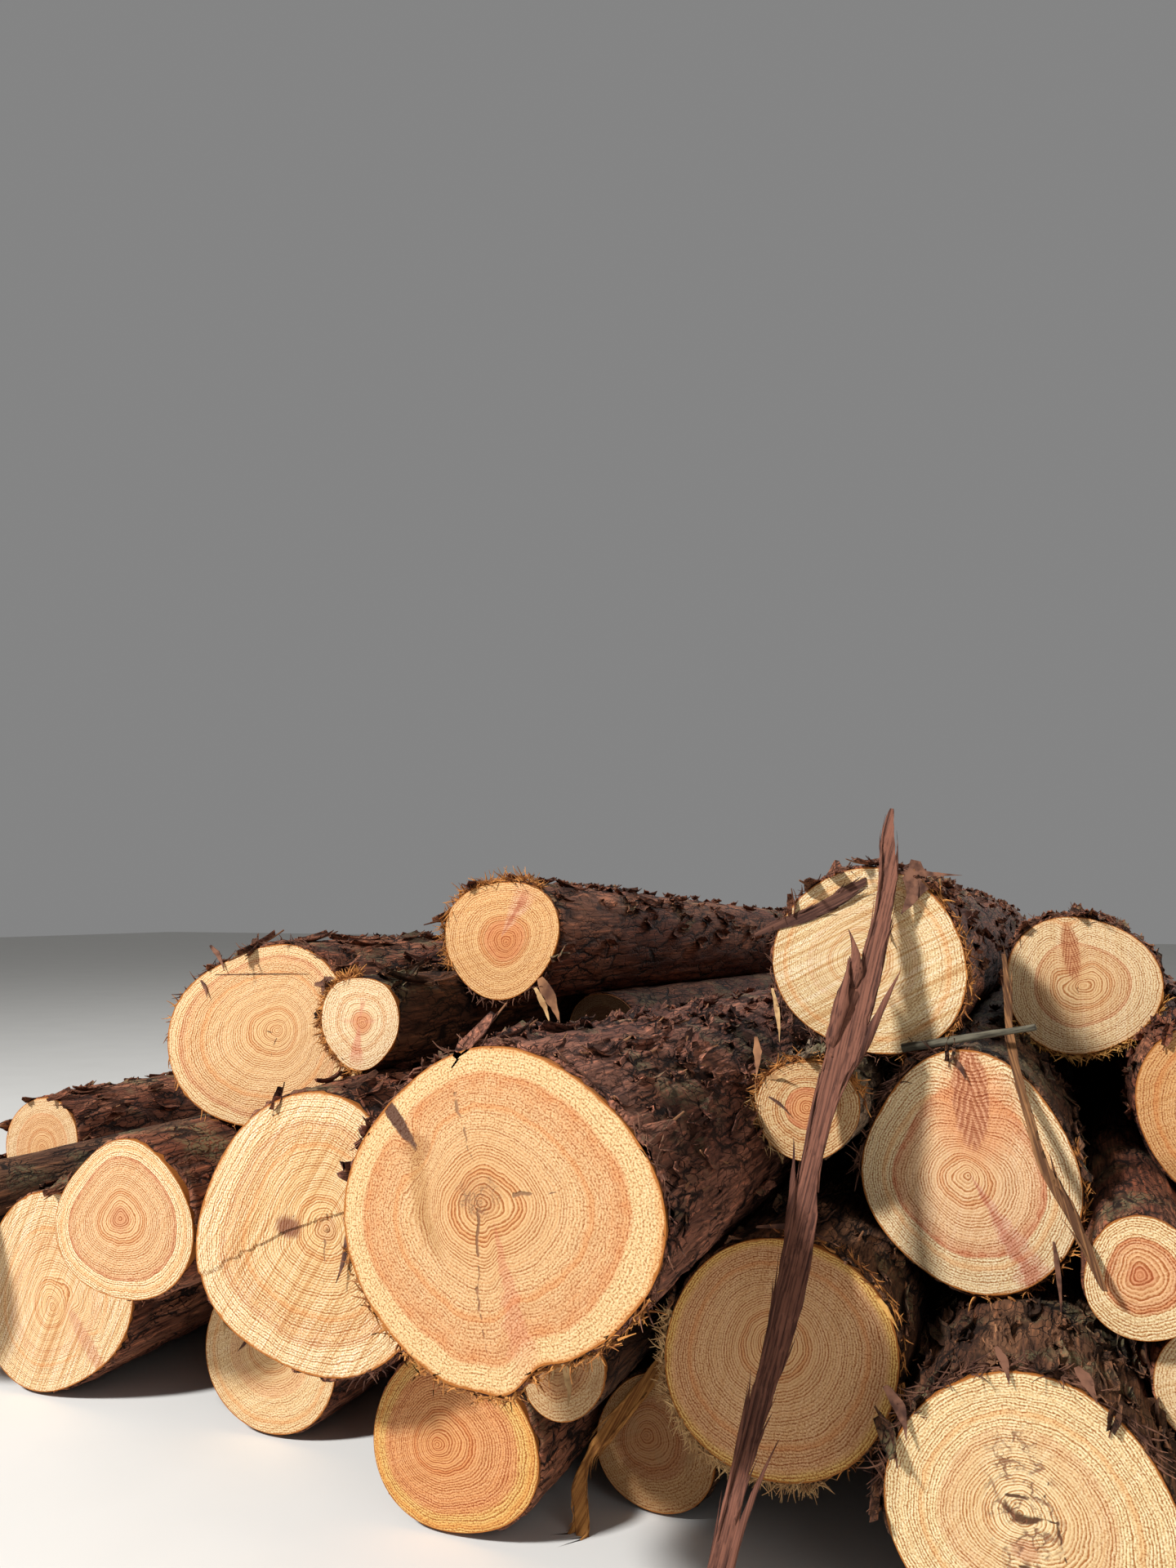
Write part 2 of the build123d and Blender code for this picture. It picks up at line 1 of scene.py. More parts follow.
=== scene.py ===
"""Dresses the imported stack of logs: sawn ends, bark coats, bark flakes, torn fibres and loose strips."""

import logging
import math
from dataclasses import dataclass, field, replace
from enum import Enum

import bmesh
import bpy
import numpy as np
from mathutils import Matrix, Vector


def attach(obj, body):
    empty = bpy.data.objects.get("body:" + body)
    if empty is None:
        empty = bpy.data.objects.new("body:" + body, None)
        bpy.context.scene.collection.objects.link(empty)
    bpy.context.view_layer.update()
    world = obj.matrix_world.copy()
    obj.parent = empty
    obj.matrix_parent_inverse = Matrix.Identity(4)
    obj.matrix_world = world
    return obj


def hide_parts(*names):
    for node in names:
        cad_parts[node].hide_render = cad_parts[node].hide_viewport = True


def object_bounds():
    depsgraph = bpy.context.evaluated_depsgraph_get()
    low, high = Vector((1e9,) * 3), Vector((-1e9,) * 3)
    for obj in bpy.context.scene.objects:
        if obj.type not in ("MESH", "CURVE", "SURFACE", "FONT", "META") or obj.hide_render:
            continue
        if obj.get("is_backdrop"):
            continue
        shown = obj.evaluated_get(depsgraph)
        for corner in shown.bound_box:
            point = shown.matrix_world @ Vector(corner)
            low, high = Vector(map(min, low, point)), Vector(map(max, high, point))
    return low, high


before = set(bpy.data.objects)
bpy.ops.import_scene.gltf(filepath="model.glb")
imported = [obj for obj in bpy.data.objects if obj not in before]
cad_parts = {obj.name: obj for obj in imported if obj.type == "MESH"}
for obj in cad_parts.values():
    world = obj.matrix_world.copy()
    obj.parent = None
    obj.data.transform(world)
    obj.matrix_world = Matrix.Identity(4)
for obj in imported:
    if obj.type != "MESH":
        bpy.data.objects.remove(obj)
CAD_LOW, CAD_HIGH = ([float(value) for value in corner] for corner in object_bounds())
LOGGER = logging.getLogger("stack_of_logs")

Colour = tuple[float, float, float]
Place = tuple[float, float]
Socket = bpy.types.NodeSocket

SEAM_ANGLE = -math.pi / 2


class Exposure(Enum):
    """How much of a log's bark can be seen from outside the stack."""

    OPEN = "open"
    BURIED = "buried"


class BarkTone(Enum):
    """The main hue of a log's bark."""

    PURPLE = "purple"
    RED = "red"
    BROWN = "brown"
    GREY = "grey"


# Node helpers


class Signal:
    """One output of a node, which takes part in sums and products as a number does."""

    def __init__(self, desk: "NodeDesk", socket: Socket) -> None:
        """Keep the output and the desk that its tree is wired on."""
        self.desk = desk
        self.socket = socket

    def beside(self, name: str) -> "Signal":
        """Another output of the same node."""
        return Signal(self.desk, self.socket.node.outputs[name])

    def __add__(self, other: object) -> "Signal":
        """The sum."""
        return self.desk.math("ADD", self, other)

    def __radd__(self, other: object) -> "Signal":
        """The sum with a plain number first."""
        return self.desk.math("ADD", other, self)

    def __sub__(self, other: object) -> "Signal":
        """The difference."""
        return self.desk.math("SUBTRACT", self, other)

    def __rsub__(self, other: object) -> "Signal":
        """The difference from a plain number."""
        return self.desk.math("SUBTRACT", other, self)

    def __mul__(self, other: object) -> "Signal":
        """The product."""
        return self.desk.math("MULTIPLY", self, other)

    def __truediv__(self, other: object) -> "Signal":
        """The quotient."""
        return self.desk.math("DIVIDE", self, other)

    def __abs__(self) -> "Signal":
        """The size without its sign."""
        return self.desk.math("ABSOLUTE", self)


class NodeDesk:
    """Adds nodes to one tree and wires them, taking signals or plain values alike."""

    def __init__(self, tree: bpy.types.NodeTree) -> None:
        """Keep the tree that is worked on."""
        self.tree = tree

    def feed(self, socket: Socket, value: object) -> None:
        """Link a signal into an input, or set the input to a plain value.

        Args:
            socket: the input.
            value: the signal or the plain value.
        """
        if isinstance(value, Signal):
            self.tree.links.new(value.socket, socket)
        else:
            socket.default_value = value

    def wire(self, kind: str, inputs: dict[int | str, object], output: int | str = 0,
             **settings: object) -> Signal:
        """Add a node, feed its inputs and give one of its outputs.

        Args:
            kind: the node's type name.
            inputs: a signal or a plain value for each input, by its number or name.
            output: the number or name of the output that is wanted.
            settings: properties to set on the node before its inputs are fed.

        Returns:
            The output.
        """
        node = self.tree.nodes.new(kind)
        for name, value in settings.items():
            setattr(node, name, value)
        for key, value in inputs.items():
            self.feed(node.inputs[key], value)
        return Signal(self, node.outputs[output])

    def math(self, operation: str, *values: object, clamp: bool = False) -> Signal:
        """Work out one number from others, held between 0 and 1 if asked."""
        return self.wire("ShaderNodeMath", dict(enumerate(values)), operation=operation, use_clamp=clamp)

    def vector(self, operation: str, *values: object) -> Signal:
        """Work out a vector, or a number for lengths and dot products."""
        output = 1 if operation in ("DOT_PRODUCT", "LENGTH") else 0
        return self.wire("ShaderNodeVectorMath", dict(enumerate(values)), output, operation=operation)

    def scaled(self, vector: Signal, factor: object) -> Signal:
        """Multiply a vector by one number."""
        return self.wire("ShaderNodeVectorMath", {0: vector, "Scale": factor}, operation="SCALE")

    def combine(self, x: object, y: object, z: object) -> Signal:
        """Make a vector of three numbers."""
        return self.wire("ShaderNodeCombineXYZ", {0: x, 1: y, 2: z})

    def separate(self, vector: Signal) -> list[Signal]:
        """Split a vector into its three numbers."""
        first = self.wire("ShaderNodeSeparateXYZ", {0: vector})
        return [first.beside(axis) for axis in "XYZ"]

    def smooth(self, value: object, low: float, high: float) -> Signal:
        """Rise smoothly from 0 at low to 1 at high, or fall where high is the smaller one.

        Args:
            value: what is read.
            low: the value that gives 0.
            high: the value that gives 1.

        Returns:
            A number from 0 to 1.
        """
        ends = {"From Min": low, "From Max": high}
        if low >= high:
            ends = {"From Min": high, "From Max": low, "To Min": 1.0, "To Max": 0.0}
        return self.wire(
            "ShaderNodeMapRange", {"Value": value, **ends}, "Result", interpolation_type="SMOOTHSTEP",
        )

    def noise(self, vector: Signal, scale: float, detail: float = 2.0, output: str = "Fac") -> Signal:
        """Read a noise of a number of waves per metre, with some finer layers."""
        return self.wire("ShaderNodeTexNoise", {"Vector": vector, "Scale": scale, "Detail": detail}, output)

    def sway(self, place: Signal, scale: float, detail: float, reach: object) -> Signal:
        """A shift that changes smoothly from place to place, by about half of the reach at most."""
        noise = self.noise(place, scale, detail, "Color")
        return self.scaled(self.vector("SUBTRACT", noise, (0.5, 0.5, 0.5)), reach)

    def cells(self, vector: Signal, scale: float, feature: str, output: str) -> Signal:
        """Read a pattern of cells, as cracked plates have."""
        return self.wire("ShaderNodeTexVoronoi", {"Vector": vector, "Scale": scale}, output, feature=feature)

    def gaps(self, vector: Signal, scale: float) -> Signal:
        """Distance from the nearest border between two cells."""
        return self.cells(vector, scale, "DISTANCE_TO_EDGE", "Distance")

    def levels(self, vector: Signal, scale: float) -> list[Signal]:
        """Three numbers that differ from cell to cell."""
        return self.separate(self.cells(vector, scale, "F1", "Color"))


class Finish(NodeDesk):
    """One material under construction, with its main shader at hand."""

    def __init__(self, name: str, roughness: float) -> None:
        """Start a material.

        Args:
            name: the material's name.
            roughness: roughness all over the surface.
        """
        self.material = bpy.data.materials.new(name)
        self.material.use_nodes = True
        super().__init__(self.material.node_tree)
        self.shader = self.tree.nodes["Principled BSDF"]
        self.shader.inputs["Roughness"].default_value = roughness
        self.shader.inputs["Specular IOR Level"].default_value = 0.25

    def place(self) -> Signal:
        """Places in metres in the object's own frame."""
        return self.wire("ShaderNodeTexCoord", {}, "Object")

    def attribute(self, name: str) -> Signal:
        """A number that the mesh carries."""
        return self.wire("ShaderNodeAttribute", {}, "Fac", attribute_name=name)

    def mix(self, factor: object, low: object, high: object, blend: str = "MIX") -> Signal:
        """Mix two colours.

        Args:
            factor: how far from the low to the high colour, from 0 to 1.
            low: the colour at 0, as a signal or a plain colour.
            high: the colour at 1, as a signal or a plain colour.
            blend: how the high colour is laid over the low one.

        Returns:
            The colour.
        """
        colours = [value if isinstance(value, Signal) else (*value, 1.0) for value in (low, high)]
        inputs = {0: factor, 6: colours[0], 7: colours[1]}
        return self.wire("ShaderNodeMix", inputs, 2, data_type="RGBA", blend_type=blend)

    def tint(self, colour: Signal, mask: object, strength: float, tone: Colour) -> Signal:
        """Multiply a colour by a tone, as far as a mask and a strength say."""
        toned = self.mix(1.0, colour, tone, "MULTIPLY")
        return self.mix(self.math("MULTIPLY", mask, strength, clamp=True), colour, toned)

    def bump(self, height: Signal, depth: float, strength: float) -> None:
        """Give the surface a fine relief of a depth in metres."""
        inputs = {"Strength": strength, "Distance": depth, "Height": height}
        self.feed(self.shader.inputs["Normal"], self.wire("ShaderNodeBump", inputs, "Normal"))

    def paint(self, colour: Signal) -> bpy.types.Material:
        """Link the base colour and return the finished material."""
        self.feed(self.shader.inputs["Base Color"], colour)
        return self.material


class GeometryTree(NodeDesk):
    """One Geometry Nodes tree under construction, with named inputs."""

    def __init__(self, name: str) -> None:
        """Start a tree that takes and gives geometry.

        Args:
            name: the tree's name.
        """
        super().__init__(bpy.data.node_groups.new(name, "GeometryNodeTree"))
        self.keys: dict[str, str] = {}
        for way in ("INPUT", "OUTPUT"):
            self.tree.interface.new_socket("Geometry", in_out=way, socket_type="NodeSocketGeometry")
        self.source = self.tree.nodes.new("NodeGroupInput")
        self.result = self.tree.nodes.new("NodeGroupOutput")

    def take(self, name: str, kind: str = "Float") -> Signal:
        """Declare a named input.

        Args:
            name: the input's name.
            kind: Float, Int or Material.

        Returns:
            What carries it inside the tree.
        """
        item = self.tree.interface.new_socket(name, in_out="INPUT", socket_type=f"NodeSocket{kind}")
        self.keys[name] = item.identifier
        return self.given(name)

    def given(self, name: str) -> Signal:
        """What one of the tree's inputs carries."""
        return Signal(self, self.source.outputs[name])

    def place(self) -> Signal:
        """The place of each point in metres."""
        return self.wire("GeometryNodeInputPosition", {})

    def stored(self, name: str, kind: str = "FLOAT") -> Signal:
        """A number or vector that the mesh carries."""
        return self.wire("GeometryNodeInputNamedAttribute", {"Name": name}, "Attribute", data_type=kind)

    def moved(self, geometry: Signal, offset: Signal) -> Signal:
        """Shift every point by an offset."""
        return self.wire("GeometryNodeSetPosition", {"Geometry": geometry, "Offset": offset})

    def random(self, low: float, high: float, seed: int) -> Signal:
        """A random number for each point or instance, from a fixed seed."""
        return self.wire("FunctionNodeRandomValue", {2: low, 3: high, "Seed": seed}, 1, data_type="FLOAT")

    def stance(self, direction: Signal, turn: Signal) -> Signal:
        """A rotation that stands a shape's Z along a direction and then turns it by three angles.

        Args:
            direction: where the shape's Z points.
            turn: the three angles in radians.

        Returns:
            The rotation.
        """
        upright = self.wire("FunctionNodeAlignRotationToVector", {"Vector": direction}, axis="Z")
        turned = self.wire("FunctionNodeEulerToRotation", {0: turn})
        return self.wire("FunctionNodeRotateRotation", {0: upright, 1: turned}, rotation_space="LOCAL")

    def planted(self, points: Signal, shapes: list[Signal], stance: Signal, size: Signal) -> Signal:
        """Put one of several shapes on every point, picked at random.

        Args:
            points: the points.
            shapes: the shapes to pick from.
            stance: the rotation on each point.
            size: the scale on each point.

        Returns:
            The instances.
        """
        joined = self.wire("GeometryNodeJoinGeometry", {})
        for shape in shapes:
            wrapped = self.wire("GeometryNodeGeometryToInstance", {0: shape})
            self.feed(joined.socket.node.inputs[0], wrapped)
        pick = self.wire("FunctionNodeRandomValue", {4: 0, 5: len(shapes) - 1}, 2, data_type="INT")
        return self.wire("GeometryNodeInstanceOnPoints", {
            "Points": points,
            "Instance": joined,
            "Pick Instance": True,
            "Instance Index": pick,
            "Rotation": stance,
            "Scale": size,
        })

    def close(self, geometry: Signal, material: Signal) -> None:
        """End the tree with plain, dressed geometry.

        Args:
            geometry: what the tree made.
            material: its material.
        """
        plain = self.wire("GeometryNodeRealizeInstances", {0: geometry})
        dressed = self.wire("GeometryNodeSetMaterial", {"Geometry": plain, "Material": material})
        self.feed(self.result.inputs[0], dressed)


# Mesh helpers


def new_object(name: str, mesh: bpy.types.Mesh) -> bpy.types.Object:
    """Put a mesh into the scene as an object at the origin.

    Args:
        name: the object's name.
        mesh: the mesh.

    Returns:
        The object.
    """
    piece = bpy.data.objects.new(name, mesh)
    bpy.context.scene.collection.objects.link(piece)
    return piece


def loft(rings: np.ndarray, first_pole: np.ndarray, last_pole: np.ndarray) -> tuple[np.ndarray, list]:
    """Join closed rings into one shell, with a pole at each end.

    Args:
        rings: points of shape (rings, points round, 3).
        first_pole: the point that closes the first ring.
        last_pole: the point that closes the last ring.

    Returns:
        The vertices, the two poles last, and the faces.
    """
    count, around = rings.shape[:2]
    vertices = np.vstack([rings.reshape(-1, 3), first_pole, last_pole])
    here = np.arange(around)
    after = np.roll(here, -1)
    faces: list = []
    for index in range(count - 1):
        low, high = index * around, (index + 1) * around
        faces += np.stack([low + here, high + here, high + after, low + after], axis=1).tolist()
    first, last = count * around, count * around + 1
    end = (count - 1) * around
    faces += [[first, a, b] for a, b in zip(here.tolist(), after.tolist())]
    faces += [[end + a, last, end + b] for a, b in zip(here.tolist(), after.tolist())]
    return vertices, faces


def build_mesh(name: str, vertices: np.ndarray, faces: list, numbers: dict[str, np.ndarray],
               uv: np.ndarray | None = None, rounded: bool = True) -> bpy.types.Mesh:
    """Make a mesh that carries numbers on its vertices.

    Args:
        name: the mesh's name.
        vertices: its points.
        faces: its faces.
        numbers: one array for each number it carries.
        uv: a UV place for each vertex, if it has a UV map.
        rounded: whether its faces are shaded as one round surface.

    Returns:
        The mesh.
    """
    mesh = bpy.data.meshes.new(name)
    mesh.from_pydata(vertices.tolist(), [], faces)
    for key, values in numbers.items():
        layer = mesh.attributes.new(key, "FLOAT", "POINT")
        layer.data.foreach_set("value", np.asarray(values, np.float32))
    if uv is not None:
        corners = np.empty(len(mesh.loops), np.int32)
        mesh.loops.foreach_get("vertex_index", corners)
        layer = mesh.uv_layers.new(name="Face")
        layer.data.foreach_set("uv", uv[corners].astype(np.float32).ravel())
    mesh.polygons.foreach_set("use_smooth", np.full(len(mesh.polygons), rounded))
    mesh.update()
    return mesh


def grown(name: str, base: bpy.types.Object, tree: GeometryTree, values: dict[str, object]) -> bpy.types.Mesh:
    """Run a Geometry Nodes tree on an object and return the result as a plain mesh.

    Args:
        name: the name of the new mesh.
        base: the object the tree starts from.
        tree: the tree.
        values: the tree's inputs by name.

    Returns:
        The new mesh, kept inside the frame's box.
    """
    modifier = base.modifiers.new(name, "NODES")
    modifier.node_group = tree.tree
    for key, value in values.items():
        modifier[tree.keys[key]] = value
    graph = bpy.context.evaluated_depsgraph_get()
    mesh = bpy.data.meshes.new_from_object(base.evaluated_get(graph), depsgraph=graph)
    base.modifiers.remove(modifier)
    mesh.name = name
    keep_inside(mesh)
    return mesh


def keep_inside(mesh: bpy.types.Mesh) -> None:
    """Hold every vertex inside the frame's box.

    Args:
        mesh: the mesh, which is changed.
    """
    places = np.empty(len(mesh.vertices) * 3, np.float32)
    mesh.vertices.foreach_get("co", places)
    places = np.clip(places.reshape(-1, 3), CAD_LOW, CAD_HIGH)
    mesh.vertices.foreach_set("co", places.astype(np.float32).ravel())
    mesh.update()


def declare(piece: bpy.types.Object, node: str) -> None:
    """Tell the frame what a finished piece rides on and stands for.

    Args:
        piece: the piece.
        node: the node that it stands for.
    """
    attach(piece, "root")
    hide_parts(node)
    LOGGER.info("%s: %d faces", piece.name, len(piece.data.polygons))


# Finishes


@dataclass(frozen=True)
class Knot:
    """A knot in a sawn face, placed in shares of the log's radius from the middle of the face."""

    place: Place
    half_width: float
    half_height: float
    turn: float = 0.0
    colour: Colour = (0.33, 0.12, 0.045)
    pull: float = 3.0
    strength: float = 0.85
    arches: float = 0.0
    fissures: float = 0.0
    blur: float = 0.35


@dataclass(frozen=True)
class Crack:
    """A drying crack, from one place to another in shares of the radius, and its width in metres."""

    start: Place
    end: Place
    width: float = 0.003
    colour: Colour = (0.10, 0.045, 0.02)


@dataclass(frozen=True)
class Streak:
    """A stained wedge that runs out from the pith in one direction."""

    degrees: float
    half_angle: float
    reach: float
    colour: Colour = (0.62, 0.24, 0.12)
    strength: float = 0.6


# Noises of the wood: waves per metre and finer layers
BROAD_WAVES = (7.0, 2.0)
FINE_WAVES = (45.0, 3.0)
GRAIN_WAVES = (340.0, 2.0)
STAIN_WAVES = (22.0, 5.0)
KNOT_WAVES = (60.0, 3.0)
FISSURE_WAVES = (34.0, 2.0)
CRUMB_WAVES = (230.0, 3.0)
CRACK_WAVES = (90.0, 2.0)

# Relief of the sawn wood in metres, and its strength
SAWN_RELIEF = (0.0012, 0.55)

# Tones that the wood's colour is multiplied by
EARLY_WOOD = (1.07, 1.15, 1.30)
LATE_WOOD = (0.54, 0.31, 0.18)
DARK_YEARS = (0.95, 0.74, 0.60)
PALE_YEARS = (1.08, 1.12, 1.12)
CORE_WOOD = (0.90, 0.76, 0.60)
KNOT_ARCH = (0.60, 0.42, 0.34)
SAW_SHADE = (0.80, 0.66, 0.53)
SAW_SHINE = (1.10, 1.19, 1.42)
SPECK_SHADE = (0.64, 0.44, 0.31)
SPECK_SHINE = (1.16, 1.20, 1.26)

# Colour of the patches laid over sawn ends: small amounts are real soiling, and the large amounts on ends in
# the stack's shadow are painted shade
DIRT_AND_SHADE = (0.30, 0.16, 0.07)


@dataclass(frozen=True)
class SawnFinish:
    """Colours and saw marks of one sawn end."""

    sap: Colour = (0.70, 0.46, 0.21)
    heart: Colour = (0.62, 0.33, 0.13)
    border: Colour = (0.60, 0.27, 0.12)
    rim: Colour = (0.36, 0.12, 0.02)
    heart_share: float = 0.6
    heart_blend: float = 0.05
    border_strength: float = 0.5
    border_reach: float = 0.22
    ring_width: float = 0.0045
    ring_contrast: float = 0.6
    ring_waves: float = 4.0
    core_strength: float = 0.5
    kerf_degrees: float = 25.0
    kerf_strength: float = 0.35
    kerf_spacing: float = 0.0036
    speckle: float = 0.9
    ring_fade: float = 0.15
    arch_lines: float = 3.0
    fissure: Colour = (0.20, 0.075, 0.035)
    # how much of the face the patches cover: a little for real soiling, a lot as painted shade on ends in the
    # stack's shadow
    dirt_and_shade: float = 0.12
    knots: tuple[Knot, ...] = ()
    cracks: tuple[Crack, ...] = ()
    streaks: tuple[Streak, ...] = ()

    def material(self, name: str, radius: float) -> bpy.types.Material:
        """Build the sawn wood.

        Args:
            name: the material's name.
            radius: the log's radius in metres.

        Returns:
            The material.
        """
        desk = Finish(name, 0.78)
        place = desk.wire("ShaderNodeUVMap", {}, uv_map="Face")
        across, upward, _ = desk.separate(place)
        share = desk.attribute("share")
        pull, knot_masks, knot_places = self.knot_masks(desk, place, radius)
        broad = desk.noise(place, *BROAD_WAVES) - 0.5
        fine = desk.noise(place, *FINE_WAVES) - 0.5
        grain = desk.noise(place, *GRAIN_WAVES)
        rings = desk.attribute("reach") / self.ring_width
        for factor, wave in ((self.ring_waves, broad), (1.7, fine), (1.0, pull)):
            rings = rings + wave * factor
        late, early, bands = self.ring_lines(desk, rings, grain)
        inside = share + broad * 0.14
        colour = self.zones(desk, inside, fine, bands)
        for streak in self.streaks:
            colour = desk.mix(self.wedge(desk, across, upward, streak, radius, fine), colour, streak.colour)
        colour = desk.tint(colour, desk.smooth(bands, 0.47, 0.36), 0.9, DARK_YEARS)
        colour = desk.tint(colour, desk.smooth(bands, 0.54, 0.66), 0.6, PALE_YEARS)
        centre = desk.smooth(share, 0.55, 0.0)
        colour = desk.tint(colour, centre, self.core_strength, CORE_WOOD)
        for mask, knot in zip(knot_masks, self.knots):
            colour = desk.mix(mask, colour, knot.colour)
        outer = desk.smooth(share, 0.15, 0.7)
        late = late * (1.0 - outer * self.ring_fade)
        colour = desk.tint(colour, early, self.ring_contrast, EARLY_WOOD)
        colour = desk.tint(colour, late, self.ring_contrast * 1.1, LATE_WOOD)
        for mask, local, knot in zip(knot_masks, knot_places, self.knots):
            if knot.arches:
                colour = desk.tint(colour, self.arches(desk, local, knot.arches, fine), 0.9, KNOT_ARCH)
        kerf = self.kerf(desk, across, upward)
        colour = desk.tint(colour, desk.smooth(kerf, 0.53, 0.60), self.kerf_strength, SAW_SHADE)
        colour = desk.tint(colour, desk.smooth(kerf, 0.48, 0.40), self.kerf_strength, SAW_SHINE)
        speckle = desk.smooth(grain, 0.50, 0.64) * outer
        colour = desk.tint(colour, speckle, self.speckle, SPECK_SHADE)
        speckle = desk.smooth(grain, 0.46, 0.36) * outer
        colour = desk.tint(colour, speckle, self.speckle * 0.5, SPECK_SHINE)
        # Soil-brown patches: real soiling at the usual small amount, painted shade at the large amounts given
        # to shadowed ends
        stain_and_shade = desk.smooth(desk.noise(place, *STAIN_WAVES), 0.52, 0.72) * self.dirt_and_shade
        colour = desk.mix(stain_and_shade, colour, DIRT_AND_SHADE)
        rim = desk.smooth(share + fine * 0.03, 0.982, 0.994)
        colour = desk.mix(rim, colour, self.rim)
        height = kerf * 0.9 + late * -0.25 + grain * 0.35
        slits = [(self.slit(desk, place, crack, radius), crack.colour) for crack in self.cracks]
        for mask, knot in zip(knot_masks, self.knots):
            if knot.fissures:
                slits.append((mask * self.fissures(desk, place, knot.fissures), self.fissure))
        for mask, tone in slits:
            colour = desk.mix(mask, colour, tone)
            height = height - mask * 3.0
        desk.bump(height, *SAWN_RELIEF)
        return desk.paint(colour)

    def ring_lines(self, desk: Finish, rings: Signal, grain: Signal) -> tuple[Signal, Signal, Signal]:
        """Draw the dark lines of late wood, the pale ones of early wood and the broader bands of years.

        Args:
            desk: the material under construction.
            rings: the ring count at every place.
            grain: a fine noise that breaks the lines up.

        Returns:
            The masks of the dark and the pale lines, and a noise that changes from year to year.
        """
        phase = desk.math("FRACT", rings)
        late = desk.smooth(phase, 0.25, 0.8) * desk.smooth(phase, 1.0, 0.88)
        year = desk.noise(desk.combine(desk.math("FLOOR", rings), 0.0, 0.0), 0.73, 1.0)
        late = late * (0.3 + desk.smooth(year, 0.38, 0.62))
        late = late * (0.5 + desk.smooth(grain, 0.3, 0.6))
        early = desk.smooth(abs(phase - 0.12), 0.22, 0.0)
        return late, early, desk.noise(desk.combine(rings, 0.0, 0.0), 0.19, 2.0)

    def zones(self, desk: Finish, inside: Signal, fine: Signal, bands: Signal) -> Signal:
        """Colour the heart, the sap wood and the stained edge of the heart.

        Args:
            desk: the material under construction.
            inside: share of the way from the pith to the rim, gently wavy.
            fine: a fine noise that breaks the stain up.
            bands: a noise that changes from year to year.

        Returns:
            The colour.
        """
        low, high = self.heart_share - self.heart_blend, self.heart_share + self.heart_blend
        colour = desk.mix(desk.smooth(inside, low, high), self.heart, self.sap)
        inward = self.heart_share - inside
        stained = desk.smooth(inward, self.border_reach, 0.0) * desk.smooth(inward, -0.012, 0.008)
        uneven = fine * 2.0 + bands * 2.4 - 0.45
        mask = desk.math("MULTIPLY", stained * uneven, self.border_strength, clamp=True)
        return desk.mix(mask, colour, self.border)

    def arches(self, desk: Finish, local: Signal, count: float, fine: Signal) -> Signal:
        """Mask of the pointed lines, one over the other, inside a knot.

        Args:
            desk: the material under construction.
            local: places in shares of the knot's half width and height.
            count: lines in half the knot's height.
            fine: a fine noise that unsteadies them.

        Returns:
            The mask.
        """
        across, upward, _ = desk.separate(local)
        level = upward * count + fine * 1.2
        level = level + abs(across) * self.arch_lines
        phase = desk.math("FRACT", level)
        line = desk.smooth(phase, 0.15, 0.6) * desk.smooth(phase, 1.0, 0.85)
        return line * desk.smooth(desk.vector("LENGTH", local), 1.15, 0.85)

    def fissures(self, desk: Finish, place: Signal, scale: float) -> Signal:
        """Mask of short broken fissures, as in crumbling wood.

        Args:
            desk: the material under construction.
            place: places on the face in metres.
            scale: fissures per metre, about.

        Returns:
            The mask.
        """
        jitter = desk.sway(place, 90.0, 3.0, 0.016)
        edge = desk.gaps(desk.vector("ADD", place, jitter), scale)
        broken = desk.smooth(desk.noise(place, *FISSURE_WAVES), 0.44, 0.56)
        crumbs = desk.smooth(desk.noise(place, *CRUMB_WAVES), 0.55, 0.64) * 0.7
        return desk.math("MAXIMUM", desk.smooth(edge, 0.11, 0.02), crumbs) * broken

    def knot_masks(self, desk: Finish, place: Signal,
                   radius: float) -> tuple[object, list[Signal], list[Signal]]:
        """Find how knots bend the rings and where they are stained.

        Args:
            desk: the material under construction.
            place: places on the face in metres.
            radius: the log's radius in metres.

        Returns:
            The shift of the ring count, a mask for each knot, and places as each knot sees them.
        """
        pull: object = 0.0
        masks = []
        places = []
        for knot in self.knots:
            local = desk.wire("ShaderNodeMapping", {
                "Vector": place,
                "Location": (knot.place[0] * radius, knot.place[1] * radius, 0.0),
                "Rotation": (0.0, 0.0, math.radians(knot.turn)),
                "Scale": (knot.half_width * radius, knot.half_height * radius, 1.0),
            }, vector_type="TEXTURE")
            away = desk.vector("LENGTH", local)
            ragged = away + desk.noise(place, *KNOT_WAVES) * 0.7
            masks.append(desk.smooth(ragged, 1.35 + knot.blur, 1.35 - knot.blur) * knot.strength)
            places.append(local)
            pull = pull + desk.smooth(away, 2.6, 0.0) * knot.pull
        return pull, masks, places

    def turned(self, across: Signal, upward: Signal, degrees: float) -> tuple[Signal, Signal]:
        """Places along a direction and aside of it."""
        cosine, sine = math.cos(math.radians(degrees)), math.sin(math.radians(degrees))
        return across * cosine + upward * sine, across * -sine + upward * cosine

    def wedge(self, desk: Finish, across: Signal, upward: Signal, streak: Streak, radius: float,
              fine: Signal) -> Signal:
        """Mask of a stained wedge.

        Args:
            desk: the material under construction.
            across: sideways place from the pith in metres.
            upward: upward place from the pith in metres.
            streak: the wedge.
            radius: the log's radius in metres.
            fine: a fine noise that frays its sides.

        Returns:
            The mask.
        """
        along, aside = self.turned(across, upward, streak.degrees)
        slope = abs(aside) / desk.math("MAXIMUM", along, 0.001)
        slope = slope + fine * 0.25
        limit = math.tan(math.radians(streak.half_angle))
        sides = desk.smooth(slope, limit * 1.25, limit * 0.55)
        length = desk.smooth(along, streak.reach * radius, streak.reach * radius * 0.6)
        ahead = desk.smooth(along, 0.0, 0.006)
        return sides * length * (ahead * streak.strength)

